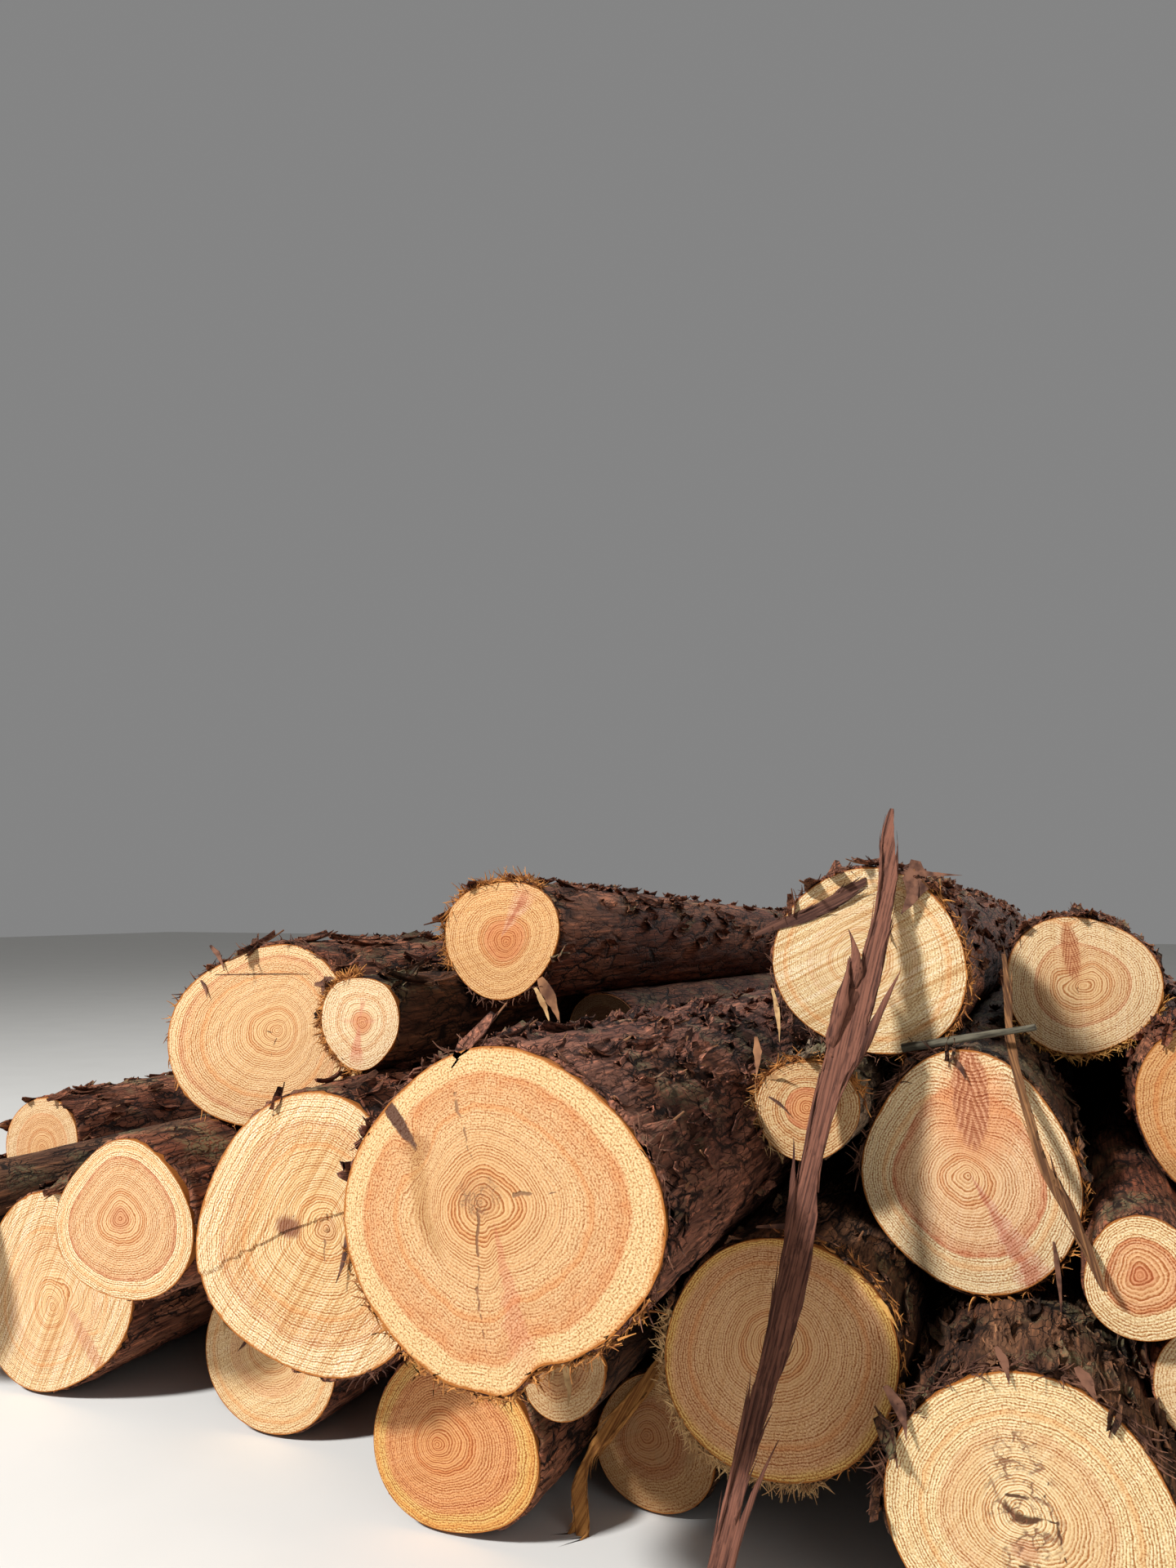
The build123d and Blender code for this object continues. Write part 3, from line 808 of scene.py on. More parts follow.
    def kerf(self, desk: Finish, across: Signal, upward: Signal) -> Signal:
        """Streaks that the saw left.

        Args:
            desk: the material under construction.
            across: sideways place from the middle in metres.
            upward: upward place from the middle in metres.

        Returns:
            A number from 0 to 1, high in a streak.
        """
        along, aside = self.turned(across, upward, self.kerf_degrees)
        dashes = desk.combine(along * 5.0, aside / self.kerf_spacing, 0.0)
        sweeps = desk.combine(along * 3.0, aside * 60.0, 4.0)
        narrow, wide = desk.noise(dashes, 1.0, 1.0), desk.noise(sweeps, 1.0, 1.0)
        return narrow * 0.75 + wide * 0.25

    def slit(self, desk: Finish, place: Signal, crack: Crack, radius: float) -> Signal:
        """Mask of a crack.

        Args:
            desk: the material under construction.
            place: places on the face in metres from the middle.
            crack: the crack.
            radius: the log's radius in metres.

        Returns:
            The mask.
        """
        start = Vector((crack.start[0] * radius, crack.start[1] * radius, 0.0))
        run = Vector((crack.end[0] * radius, crack.end[1] * radius, 0.0)) - start
        wave = desk.sway(place, 26.0, 3.0, 0.022)
        offset = desk.vector("SUBTRACT", desk.vector("ADD", place, wave), tuple(start))
        along = desk.vector("DOT_PRODUCT", offset, tuple(run))
        part = desk.math("DIVIDE", along, run.length_squared, clamp=True)
        nearest = desk.scaled(desk.combine(run.x, run.y, 0.0), part)
        away = desk.vector("LENGTH", desk.vector("SUBTRACT", offset, nearest))
        broken = 0.65 + desk.noise(place, *CRACK_WAVES) * 0.6
        width = (1.15 - part) * broken * (crack.width * 0.6)
        return desk.smooth(away / width, 1.4, 0.6)


# The pattern of the bark: cells per metre, and the waves, layers and reach in metres of their sways
PLATES = 30.0
SCALES = 62.0
PLATE_SWAY = (6.0, 2.0, 0.07)
PLATE_JITTER = (60.0, 2.0, 0.012)

# Noises of the bark: waves per metre and finer layers
THREAD_WAVES = (190.0, 4.0)
PATCH_WAVES = (14.0, 4.0)
CREVICE_WAVES = (9.0, 3.0)
LICHEN_WAVES = (7.0, 6.0)
CRUST_WAVES = (130.0, 3.0)

# Relief of the bark in metres, and its strength
BARK_RELIEF = (0.006, 0.9)

# Tones that the bark's colour is multiplied by
PALE_SCALE = (1.6, 1.6, 1.6)
LIT_THREAD = (2.4, 2.2, 2.0)
SHADED_THREAD = (0.28, 0.23, 0.23)


@dataclass(frozen=True)
class BarkFinish:
    """Colours of bark, whose strings and plates run along one direction."""

    plate: Colour
    edge: Colour
    # near-black painted shade laid into the fissures and sunk hollows
    crevice_shade: Colour
    lichen: Colour = (0.17, 0.17, 0.085)
    lichen_share: float = 0.6
    strings: tuple[float, float, float] = (1.0, 0.05, 1.0)

    def material(self, name: str) -> bpy.types.Material:
        """Build the bark.

        Args:
            name: the material's name.

        Returns:
            The material.
        """
        desk = Finish(name, 0.9)
        place = desk.place()
        warped = desk.vector("ADD", place, desk.sway(place, *PLATE_SWAY))
        jitter = desk.sway(place, *PLATE_JITTER)
        ragged = desk.vector("ADD", warped, jitter)
        plates = desk.vector("MULTIPLY", ragged, self.stretch(2.6))
        scales = desk.vector("MULTIPLY", ragged, self.stretch(6.6))
        threads = desk.noise(desk.vector("MULTIPLY", place, self.strings), *THREAD_WAVES)
        patches = desk.noise(desk.vector("MULTIPLY", place, self.stretch(3.0)), *PATCH_WAVES)
        plate_gap = desk.gaps(plates, PLATES)
        scale_gap = desk.gaps(scales, SCALES)
        scale_tone = desk.levels(scales, SCALES)[1]
        colour = desk.mix(desk.smooth(patches, 0.38, 0.62), self.plate, self.edge)
        colour = desk.tint(colour, scale_tone, 0.55, PALE_SCALE)
        colour = desk.tint(colour, desk.smooth(threads, 0.54, 0.68), 0.7, LIT_THREAD)
        colour = desk.tint(colour, desk.smooth(threads, 0.48, 0.36), 0.85, SHADED_THREAD)
        colour = self.grow_lichen(desk, place, colour)
        # Painted shade: the fissures between plates and scales, and the sunk parts of the coat, are coloured
        # near-black
        crevices = desk.smooth(plate_gap, 0.075, 0.015), desk.smooth(scale_gap, 0.05, 0.0)
        crevice = desk.math("MAXIMUM", *crevices)
        broken = desk.smooth(desk.noise(place, *CREVICE_WAVES), 0.38, 0.58)
        crevice = crevice * (0.25 + broken * 0.75)
        sunk = desk.smooth(desk.attribute("depth"), 0.45, 1.0) * 0.85
        colour = desk.mix(desk.math("MAXIMUM", crevice, sunk, clamp=True), colour, self.crevice_shade)
        desk.bump(threads * 0.35 + scale_tone * 0.5 - crevice * 0.9, *BARK_RELIEF)
        return desk.paint(colour)

    def stretch(self, share: float) -> tuple[float, float, float]:
        """The stretch of the strings, eased by a share along their length."""
        return tuple(min(1.0, value * share) for value in self.strings)

    def grow_lichen(self, desk: Finish, place: Signal, colour: Signal) -> Signal:
        """Lay grey-green lichen in patches over what faces up.

        Args:
            desk: the material under construction.
            place: places in metres.
            colour: the bark's colour.

        Returns:
            The colour with lichen.
        """
        upward = desk.separate(desk.wire("ShaderNodeNewGeometry", {}, "Normal"))[2]
        patch = desk.smooth(desk.noise(place, *LICHEN_WAVES), 0.50, 0.62) * desk.smooth(upward, 0.1, 0.85)
        patch = patch * desk.smooth(desk.noise(place, *CRUST_WAVES), 0.38, 0.56)
        return desk.mix(patch * self.lichen_share, colour, self.lichen)


@dataclass(frozen=True)
class FibreFinish:
    """Colours of torn fibres, flakes and splinters, mixed piece by piece along their length."""

    low: Colour
    high: Colour
    scale: float = 60.0
    axis: tuple[float, float, float] = (0.0, 1.0, 0.0)
    stretch: float = 0.2

    def material(self, name: str) -> bpy.types.Material:
        """Build the fibre finish.

        Args:
            name: the material's name.

        Returns:
            The material.
        """
        desk = Finish(name, 0.85)
        place = desk.place()
        shorter = desk.vector("DOT_PRODUCT", place, self.axis) * (self.stretch - 1.0)
        combed = desk.vector("ADD", place, desk.scaled(desk.combine(*self.axis), shorter))
        threads = desk.noise(combed, self.scale, 4.0)
        broad = desk.noise(combed, 22.0, 3.0)
        grain = threads * 0.6 + broad * 0.4
        colour = desk.mix(desk.smooth(grain, 0.38, 0.62), self.low, self.high)
        desk.bump(grain, 0.002, 0.5)
        return desk.paint(colour)


BARK = {
    BarkTone.PURPLE: BarkFinish((0.100, 0.036, 0.023), (0.215, 0.088, 0.054), (0.014, 0.005, 0.004)),
    BarkTone.RED: BarkFinish((0.122, 0.039, 0.020), (0.228, 0.090, 0.048), (0.013, 0.005, 0.003)),
    # Brown bark is dark partly as its own colour and partly as painted shade for bark that lies in the
    # stack's shadow
    BarkTone.BROWN: BarkFinish((0.062, 0.025, 0.013), (0.130, 0.060, 0.030), (0.011, 0.005, 0.003)),
    BarkTone.GREY: BarkFinish(
        (0.100, 0.064, 0.042), (0.200, 0.146, 0.098), (0.020, 0.011, 0.007), lichen_share=0.7,
    ),
}
FIBRE_ORANGE = FibreFinish((0.20, 0.065, 0.018), (0.58, 0.25, 0.065))
FIBRE_TAN = FibreFinish((0.36, 0.19, 0.08), (0.66, 0.43, 0.20))
FIBRE_GOLD = FibreFinish((0.42, 0.17, 0.035), (0.76, 0.42, 0.12), 90.0)
STRIP_PURPLE = FibreFinish((0.042, 0.015, 0.010), (0.20, 0.078, 0.048), 300.0, stretch=0.02)
STRIP_DARK = FibreFinish((0.045, 0.017, 0.012), (0.14, 0.060, 0.038), 300.0, stretch=0.03)
STRIP_BROWN = FibreFinish((0.075, 0.030, 0.012), (0.28, 0.130, 0.050), 300.0, stretch=0.03)
STRIP_GOLD = FibreFinish((0.20, 0.070, 0.018), (0.54, 0.245, 0.065), 260.0, stretch=0.03)
SHRED_BROWN = FibreFinish((0.10, 0.04, 0.022), (0.36, 0.17, 0.08), 25.0)
FIBRE_DARK = FibreFinish((0.05, 0.02, 0.013), (0.19, 0.085, 0.05))
STICK_GREY = FibreFinish((0.028, 0.024, 0.016), (0.14, 0.123, 0.085), 220.0, (1.0, 0.0, 0.0), 0.10)


# Looks of the logs


@dataclass(frozen=True)
class Fringe:
    """Torn fibres along part of a rim, between two angles in degrees, anticlockwise from the right."""

    start: float
    end: float
    count: int
    length: float = 0.03
    finish: FibreFinish = FIBRE_ORANGE
    outward: float = 0.45


@dataclass(frozen=True)
class Splinter:
    """A splinter that sticks to a sawn face or its rim, between two places in shares of the log's radius."""

    start: Place
    end: Place
    width: float = 0.010
    bow: float = 0.06
    ahead: float = 0.010
    finish: FibreFinish = FIBRE_DARK


@dataclass(frozen=True)
class Step:
    """A step in a sawn face: below a line through a corner, the face stands a depth in metres back."""

    corner: Place
    left_slope: float
    right_slope: float
    depth: float

    def drop(self, across: np.ndarray, upward: np.ndarray) -> np.ndarray:
        """How far places lie below the line.

        Args:
            across: sideways places in shares of the radius.
            upward: upward places in shares of the radius.

        Returns:
            The distances below it in shares of the radius, negative above it.
        """
        aside = across - self.corner[0]
        slope = np.tan(np.radians(np.where(aside < 0, self.left_slope, self.right_slope)))
        return (self.corner[1] + aside * slope - upward) / np.hypot(1.0, slope)


@dataclass(frozen=True)
class LogLook:
    """How one log differs from the others."""

    node: str
    exposure: Exposure = Exposure.BURIED
    tone: BarkTone = BarkTone.RED
    pith: Place = (0.0, 0.0)
    sawn: SawnFinish = SawnFinish()
    fringes: tuple[Fringe, ...] = ()
    flakes: float = 60.0
    outline_waves: int = 8
    step: Step | None = None
    splinters: tuple[Splinter, ...] = ()


ORANGE_TAN = dict(sap=(0.66, 0.36, 0.14), heart=(0.60, 0.27, 0.10), border=(0.55, 0.20, 0.08))
PALE_TAN = dict(sap=(0.72, 0.52, 0.27), heart=(0.68, 0.45, 0.22), border=(0.62, 0.31, 0.15))
CREAM = dict(sap=(0.72, 0.54, 0.31), heart=(0.64, 0.33, 0.16), border=(0.60, 0.25, 0.12))
# Very dark wood: painted shade for an end that lies deep in the stack's shadow
SHADOW_DARKENED = dict(sap=(0.20, 0.115, 0.055), heart=(0.17, 0.085, 0.04), border=(0.12, 0.05, 0.025))
YELLOW_TAN = dict(sap=(0.63, 0.39, 0.14), heart=(0.60, 0.35, 0.15), border=(0.54, 0.27, 0.11))

LOOKS = (
    LogLook(
        "log_big", Exposure.OPEN, BarkTone.PURPLE, (-0.08, 0.07),
        SawnFinish(
            sap=(0.69, 0.48, 0.23), heart=(0.64, 0.40, 0.19), border=(0.58, 0.26, 0.10), heart_share=0.84,
            heart_blend=0.03, border_strength=0.75, border_reach=0.34, kerf_degrees=62.0, kerf_strength=0.2,
            ring_waves=6.5, core_strength=0.7,
            knots=(
                Knot((-0.51, 0.34), 0.09, 0.08, 0.0, (0.40, 0.19, 0.07), 5.0, 0.65, blur=0.3),
                Knot((-0.48, 0.12), 0.06, 0.26, 8.0, (0.44, 0.23, 0.08), 3.0, 0.65, blur=0.5),
                Knot((-0.40, -0.14), 0.04, 0.15, 28.0, (0.44, 0.24, 0.09), 1.0, 0.6, blur=0.5),
                Knot((-0.65, 0.50), 0.042, 0.20, 40.0, (0.12, 0.058, 0.034), 1.0, 1.0, blur=0.12),
                Knot((-0.09, 0.10), 0.13, 0.12, 0.0, (0.48, 0.24, 0.10), 3.5, 0.6, fissures=90.0),
            ),
            speckle=1.2, ring_contrast=0.9, ring_fade=0.65, fissure=(0.24, 0.12, 0.06),
            cracks=(
                Crack((-0.09, 0.03), (-0.10, -0.41), 0.0048, (0.22, 0.10, 0.045)),
                Crack((-0.10, -0.41), (-0.03, -0.74), 0.0042, (0.28, 0.13, 0.06)),
                Crack((-0.25, 0.67), (-0.13, 0.30), 0.0042, (0.30, 0.15, 0.07)),
                Crack((0.14, 0.13), (0.44, 0.17), 0.0042, (0.26, 0.13, 0.06)),
            ),
            streaks=(Streak(-75.0, 7.0, 1.0, (0.58, 0.25, 0.13), 0.6),),
        ),
        (Fringe(-165.0, -20.0, 420, 0.022), Fringe(-30.0, 160.0, 160, 0.022, FIBRE_DARK)), 150.0,
        outline_waves=17,
    ),
    LogLook(
        "log_top_middle", Exposure.OPEN, BarkTone.RED, (-0.13, 0.02),
        SawnFinish(
            sap=(0.74, 0.56, 0.30), heart=(0.72, 0.52, 0.27), border=(0.66, 0.38, 0.20), heart_share=0.56,
            border_reach=0.07, kerf_degrees=28.0, kerf_strength=1.0, kerf_spacing=0.0044, ring_contrast=0.5,
            core_strength=0.1,
        ),
        (Fringe(-75.0, 60.0, 260, 0.022), Fringe(60.0, 280.0, 160, 0.022, FIBRE_DARK)), 110.0,
        splinters=(
            Splinter((0.50, 1.02), (0.36, 0.48), 0.050, 0.12, 0.03),
            Splinter((0.44, 0.95), (0.52, 0.62), 0.022, 0.0, 0.02),
            Splinter((0.30, 0.90), (0.96, 0.86), 0.012, 0.0, 0.04),
            Splinter((0.12, 0.42), (0.24, 0.18), 0.014, 0.05, 0.012, FIBRE_TAN),
            Splinter((-1.0, -0.30), (-0.92, -0.85), 0.012, 0.03, 0.01, FIBRE_TAN),
        ),
    ),
    LogLook(
        "log_egg", Exposure.OPEN, BarkTone.BROWN, (-0.01, -0.02),
        SawnFinish(
            sap=(0.80, 0.63, 0.36), heart=(0.76, 0.50, 0.27), border=(0.60, 0.25, 0.12), heart_share=0.70,
            heart_blend=0.02, border_reach=0.16, border_strength=0.9, kerf_degrees=70.0, kerf_strength=0.3,
            ring_contrast=0.8,
            knots=(
                Knot((0.07, 0.54), 0.34, 0.42, 3.0, (0.70, 0.31, 0.13), 5.0, 0.75, blur=0.35),
                Knot((0.03, 0.66), 0.15, 0.44, 3.0, (0.64, 0.32, 0.17), 6.0, 0.9, 2.4, blur=0.12),
            ),
            streaks=(
                Streak(-58.0, 9.0, 1.5, (0.66, 0.36, 0.24), 0.7),
                Streak(-60.0, 4.0, 1.5, (0.56, 0.24, 0.14), 0.8),
            ),
        ),
        (Fringe(100.0, 185.0, 170, 0.028, FIBRE_DARK), Fringe(-90.0, 20.0, 160, 0.02)), 90.0,
        splinters=(
            Splinter((0.66, -0.50), (0.70, -1.12), 0.010, 0.02, 0.02),
            Splinter((-0.10, 0.98), (0.0, 0.80), 0.010),
        ),
    ),
    LogLook(
        "log_top_right", Exposure.OPEN, BarkTone.RED, (0.01, -0.02),
        SawnFinish(
            sap=(0.77, 0.58, 0.32), heart=(0.73, 0.48, 0.24), border=(0.60, 0.27, 0.13), heart_share=0.62,
            heart_blend=0.02, border_reach=0.07, border_strength=0.8, kerf_degrees=88.0, kerf_strength=0.3,
            ring_contrast=0.85,
            knots=(Knot((-0.10, 0.44), 0.11, 0.38, 6.0, (0.62, 0.29, 0.13), 6.0, 0.8, 2.4, blur=0.35),),
            cracks=(Crack((-0.02, -0.05), (0.0, -0.32), 0.0025),),
        ),
        (Fringe(-150.0, -10.0, 420, 0.021, FIBRE_GOLD), Fringe(40.0, 150.0, 120, 0.024, FIBRE_DARK)), 110.0,
    ),
    LogLook(
        "log_top_left", Exposure.OPEN, BarkTone.RED, (0.10, -0.07),
        SawnFinish(
            sap=(0.72, 0.43, 0.18), heart=(0.66, 0.29, 0.11), border=(0.60, 0.20, 0.08), heart_share=0.35,
            heart_blend=0.18, kerf_degrees=15.0, ring_contrast=0.85,
            streaks=(
                Streak(58.0, 15.0, 1.05, (0.70, 0.40, 0.24), 0.7),
                Streak(58.0, 5.0, 1.0, (0.52, 0.20, 0.10), 0.85),
            ),
        ),
        (Fringe(50.0, 210.0, 420, 0.026), Fringe(210.0, 330.0, 120, 0.02, FIBRE_DARK)), 120.0,
        splinters=(
            Splinter((0.68, -0.60), (1.02, -1.26), 0.034, 0.04, 0.0, SHRED_BROWN),
            Splinter((0.60, -0.75), (0.86, -1.30), 0.016, 0.05, 0.0, FIBRE_TAN),
        ),
    ),
    LogLook(
        "log_oval", Exposure.OPEN, BarkTone.RED, (0.21, 0.08),
        SawnFinish(
            **PALE_TAN, heart_share=0.88, heart_blend=0.03, border_strength=0.75, border_reach=0.12,
            kerf_degrees=40.0, ring_contrast=0.9,
            cracks=(Crack((0.15, 0.06), (-0.15, 0.12), 0.002), Crack((0.2, 0.0), (0.1, -0.25), 0.002)),
        ),
        (Fringe(20.0, 160.0, 140, 0.022, FIBRE_DARK), Fringe(160.0, 330.0, 160, 0.018)), 90.0,
        splinters=(
            Splinter((-0.62, 0.86), (-0.40, 0.62), 0.014),
            Splinter((-0.72, 0.52), (-0.60, 0.36), 0.010),
            Splinter((0.62, 0.52), (0.90, 0.50), 0.016),
            Splinter((-0.55, 0.58), (0.55, 0.62), 0.002, 0.0, 0.002),
        ),
    ),
    LogLook(
        "log_small_upper", Exposure.OPEN, BarkTone.BROWN, (0.07, -0.03),
        SawnFinish(
            **CREAM, heart_share=0.24, heart_blend=0.12, kerf_degrees=20.0,
            streaks=(
                Streak(-95.0, 13.0, 1.0, (0.62, 0.29, 0.17), 0.85),
                Streak(80.0, 10.0, 0.55, (0.62, 0.29, 0.17), 0.7),
                Streak(178.0, 9.0, 0.5, (0.64, 0.33, 0.20), 0.5),
                Streak(5.0, 9.0, 0.5, (0.64, 0.33, 0.20), 0.5),
            ),
        ),
        (Fringe(100.0, 270.0, 900, 0.018, outward=1.4),), 90.0,
        splinters=(
            Splinter((-0.98, 0.74), (-0.55, 0.88), 0.014, 0.1),
            Splinter((-0.92, 0.52), (-0.80, 0.92), 0.010),
            Splinter((-0.10, -1.02), (-0.18, -1.30), 0.012, 0.05, 0.01, FIBRE_TAN),
        ),
    ),
    LogLook(
        "log_far_left", Exposure.OPEN, BarkTone.RED, (0.0, 0.0),
        SawnFinish(
            sap=(0.72, 0.52, 0.28), heart=(0.68, 0.42, 0.20), border=(0.55, 0.22, 0.10), heart_share=0.7,
            heart_blend=0.02, border_reach=0.08, ring_contrast=0.9,
        ),
        (), 80.0,
    ),
    LogLook(
        "log_heart_ring", Exposure.BURIED, BarkTone.RED, (-0.05, 0.03),
        SawnFinish(
            sap=(0.76, 0.59, 0.33), heart=(0.66, 0.42, 0.21), border=(0.50, 0.20, 0.09), heart_share=0.78,
            heart_blend=0.012, border_strength=0.75, border_reach=0.10, kerf_degrees=50.0,
            ring_contrast=1.0, ring_waves=6.0,
            knots=(Knot((-0.05, 0.03), 0.16, 0.14, 0.0, (0.52, 0.22, 0.10), 2.0, 0.6),),
        ),
    ),
    LogLook(
        "log_ground_left", Exposure.OPEN, BarkTone.RED, (0.02, -0.15),
        SawnFinish(
            sap=(0.74, 0.55, 0.30), heart=(0.72, 0.50, 0.26), border=(0.64, 0.34, 0.18), heart_share=0.6,
            border_strength=0.3, kerf_degrees=66.0, kerf_strength=1.0, kerf_spacing=0.0042,
            ring_contrast=0.75,
            knots=(Knot((0.47, -0.42), 0.07, 0.40, 42.0, (0.60, 0.33, 0.18), 6.0, 0.75),),
        ),
    ),
    LogLook(
        "log_stepped", Exposure.BURIED, BarkTone.RED, (0.15, 0.07),
        SawnFinish(
            sap=(0.76, 0.58, 0.32), heart=(0.70, 0.48, 0.23), border=(0.66, 0.36, 0.20), heart_share=0.8,
            border_strength=0.35, kerf_degrees=57.0, kerf_strength=0.9, kerf_spacing=0.0038,
            ring_contrast=0.9, ring_waves=6.0,
            knots=(
                Knot((-0.17, 0.05), 0.10, 0.075, 0.0, (0.22, 0.08, 0.04), 2.0, 0.9),
                Knot((0.15, 0.07), 0.09, 0.09, 0.0, (0.50, 0.27, 0.12), 2.0, 0.5),
            ),
            cracks=(
                Crack((-0.17, 0.05), (-0.10, 0.14), 0.004),
                Crack((-0.17, 0.04), (-0.26, 0.0), 0.004),
                Crack((0.14, -0.02), (0.12, -0.36), 0.003, (0.30, 0.15, 0.07)),
            ),
        ),
        (Fringe(-70.0, 60.0, 200, 0.022, FIBRE_DARK),), step=Step((-0.18, 0.03), 28.0, 20.0, 0.004),
        splinters=(Splinter((0.36, 0.18), (0.28, -0.26), 0.016, 0.03, 0.012),),
    ),
    LogLook(
        "log_ground_pale", Exposure.BURIED, BarkTone.RED, (0.0, 0.0),
        SawnFinish(**PALE_TAN, kerf_degrees=30.0, kerf_strength=0.4),
        splinters=(
            Splinter((-0.25, 0.20), (-0.42, -0.10), 0.014),
            Splinter((-0.75, 0.35), (-0.62, 0.05), 0.010, 0.05, 0.01, FIBRE_TAN),
        ),
    ),
    LogLook(
        "log_ground_shaded", Exposure.BURIED, BarkTone.RED, (-0.18, -0.04),
        SawnFinish(
            sap=(0.68, 0.42, 0.13), heart=(0.64, 0.31, 0.12), border=(0.58, 0.22, 0.08), heart_share=0.8,
            heart_blend=0.08, kerf_degrees=20.0, ring_contrast=1.0, ring_waves=7.0,
        ),
    ),
    LogLook(
        "log_small_hidden", Exposure.BURIED, BarkTone.BROWN, (-0.1, 0.2),
        # Darker wood colours and heavy soil-brown patches: painted shade, as this end lies in the stack's
        # shadow
        SawnFinish(sap=(0.50, 0.33, 0.16), heart=(0.45, 0.25, 0.11), border=(0.38, 0.17, 0.07), dirt_and_shade=0.5),
        splinters=(
            Splinter((0.05, 0.15), (0.32, -0.50), 0.018, 0.05, 0.03, FIBRE_TAN),
            Splinter((-0.15, 0.05), (-0.22, -0.30), 0.004, 0.1, 0.01, FIBRE_TAN),
            Splinter((0.35, 0.30), (0.62, 0.75), 0.016),
            Splinter((0.45, 0.30), (0.80, 0.60), 0.008),
        ),
    ),
    LogLook(
        "log_ground_dark", Exposure.BURIED, BarkTone.BROWN, (-0.15, 0.1),
        # Darker wood colours and heavy soil-brown patches: painted shade, as this end lies in the stack's
        # shadow
        SawnFinish(sap=(0.42, 0.24, 0.10), heart=(0.36, 0.18, 0.075), border=(0.30, 0.12, 0.05), dirt_and_shade=0.7),
    ),
    LogLook(
        "log_yellow", Exposure.BURIED, BarkTone.BROWN, (-0.04, 0.13),
        SawnFinish(
            sap=(0.72, 0.45, 0.13), heart=(0.66, 0.40, 0.19), border=(0.58, 0.28, 0.12), heart_share=0.93,
            heart_blend=0.04, border_reach=0.35, border_strength=0.5, kerf_degrees=75.0, kerf_strength=0.3,
            ring_contrast=0.8,
        ),
        (Fringe(165.0, 290.0, 800, 0.022, FIBRE_TAN, 0.9), Fringe(-60.0, 90.0, 160, 0.02)), 70.0,
        splinters=(
            Splinter((-0.16, 1.02), (0.55, 0.98), 0.010, 0.08, 0.03),
            Splinter((0.80, 0.60), (0.97, 0.36), 0.010, 0.02, 0.004, FIBRE_GOLD),
        ),
    ),
    LogLook(
        "log_small_middle", Exposure.BURIED, BarkTone.GREY, (0.0, 0.04),
        SawnFinish(
            sap=(0.60, 0.40, 0.19), heart=(0.66, 0.33, 0.14), border=(0.52, 0.19, 0.08), heart_share=0.42,
            heart_blend=0.03, border_strength=0.8, ring_contrast=0.95,
        ),
        (Fringe(10.0, 200.0, 320, 0.022), Fringe(165.0, 240.0, 50, 0.03, FIBRE_TAN)), 140.0,
        splinters=(
            Splinter((-0.75, 0.55), (-0.30, 0.62), 0.010, 0.0, 0.02, FIBRE_TAN),
            Splinter((-0.72, 0.20), (-0.30, -0.10), 0.006),
            Splinter((-0.95, 1.30), (-0.90, 0.55), 0.016, 0.03, 0.02, SHRED_BROWN),
        ),
    ),
    LogLook(
        "log_right_small", Exposure.BURIED, BarkTone.RED, (-0.08, 0.06),
        SawnFinish(
            sap=(0.76, 0.58, 0.31), heart=(0.68, 0.38, 0.18), border=(0.55, 0.20, 0.09), heart_share=0.62,
            heart_blend=0.04, border_strength=0.6, ring_contrast=1.0, ring_waves=6.0,
            knots=(Knot((-0.06, 0.06), 0.20, 0.18, 0.0, (0.55, 0.19, 0.08), 3.0, 0.7),),
        ),
    ),
    LogLook(
        "log_ground_right", Exposure.OPEN, BarkTone.BROWN, (-0.09, 0.07),
        SawnFinish(
            sap=(0.76, 0.60, 0.32), heart=(0.72, 0.51, 0.26), border=(0.64, 0.35, 0.17), heart_share=0.6,
            border_strength=0.4, kerf_degrees=55.0, kerf_strength=0.3, ring_contrast=0.85, ring_waves=6.0,
            knots=(
                Knot((-0.06, 0.10), 0.22, 0.52, 4.0, (0.78, 0.60, 0.33), 2.0, 0.85, fissures=46.0),
                Knot((-0.06, -0.16), 0.09, 0.07, 0.0, (0.56, 0.28, 0.15), 1.0, 0.7),
                Knot((-0.05, -0.34), 0.045, 0.10, 4.0, (0.16, 0.08, 0.05), 1.0, 0.95),
            ),
            cracks=(
                Crack((-0.16, 0.10), (-0.10, 0.04), 0.008),
                Crack((-0.10, 0.04), (0.14, 0.06), 0.010),
                Crack((0.14, 0.06), (0.22, -0.30), 0.004),
                Crack((-0.16, 0.16), (0.06, 0.17), 0.004),
                Crack((0.08, 0.20), (0.10, 0.34), 0.003),
                Crack((-0.10, -0.26), (0.02, -0.26), 0.004),
            ),
        ),
        (Fringe(30.0, 180.0, 260, 0.03, FIBRE_DARK),), 140.0,
        splinters=(
            Splinter((-0.95, 0.75), (-0.80, 0.45), 0.022, 0.1, 0.02),
            Splinter((0.30, 1.06), (0.42, 0.86), 0.020),
            Splinter((-0.20, 1.12), (-0.12, 0.90), 0.016),
        ),
    ),
    LogLook("log_right_edge", sawn=SawnFinish(**PALE_TAN)),
    LogLook("log_right_upper", Exposure.OPEN, BarkTone.RED, (0.05, 0.0), SawnFinish(**ORANGE_TAN)),
    LogLook("log_sloped", Exposure.BURIED, BarkTone.BROWN, (0.0, 0.05), SawnFinish(**ORANGE_TAN)),
    LogLook(
        # Very dark wood and heavy soil-brown patches: painted shade
        "log_hidden_middle", Exposure.BURIED, BarkTone.RED, (0.04, 0.03), SawnFinish(**SHADOW_DARKENED, dirt_and_shade=0.8),
    ),
    LogLook("log_hidden_left_a", Exposure.BURIED, BarkTone.RED, (0.05, 0.02), SawnFinish(**PALE_TAN)),
    LogLook("log_hidden_left_b", Exposure.OPEN, BarkTone.RED, (-0.04, 0.03), SawnFinish(**ORANGE_TAN)),
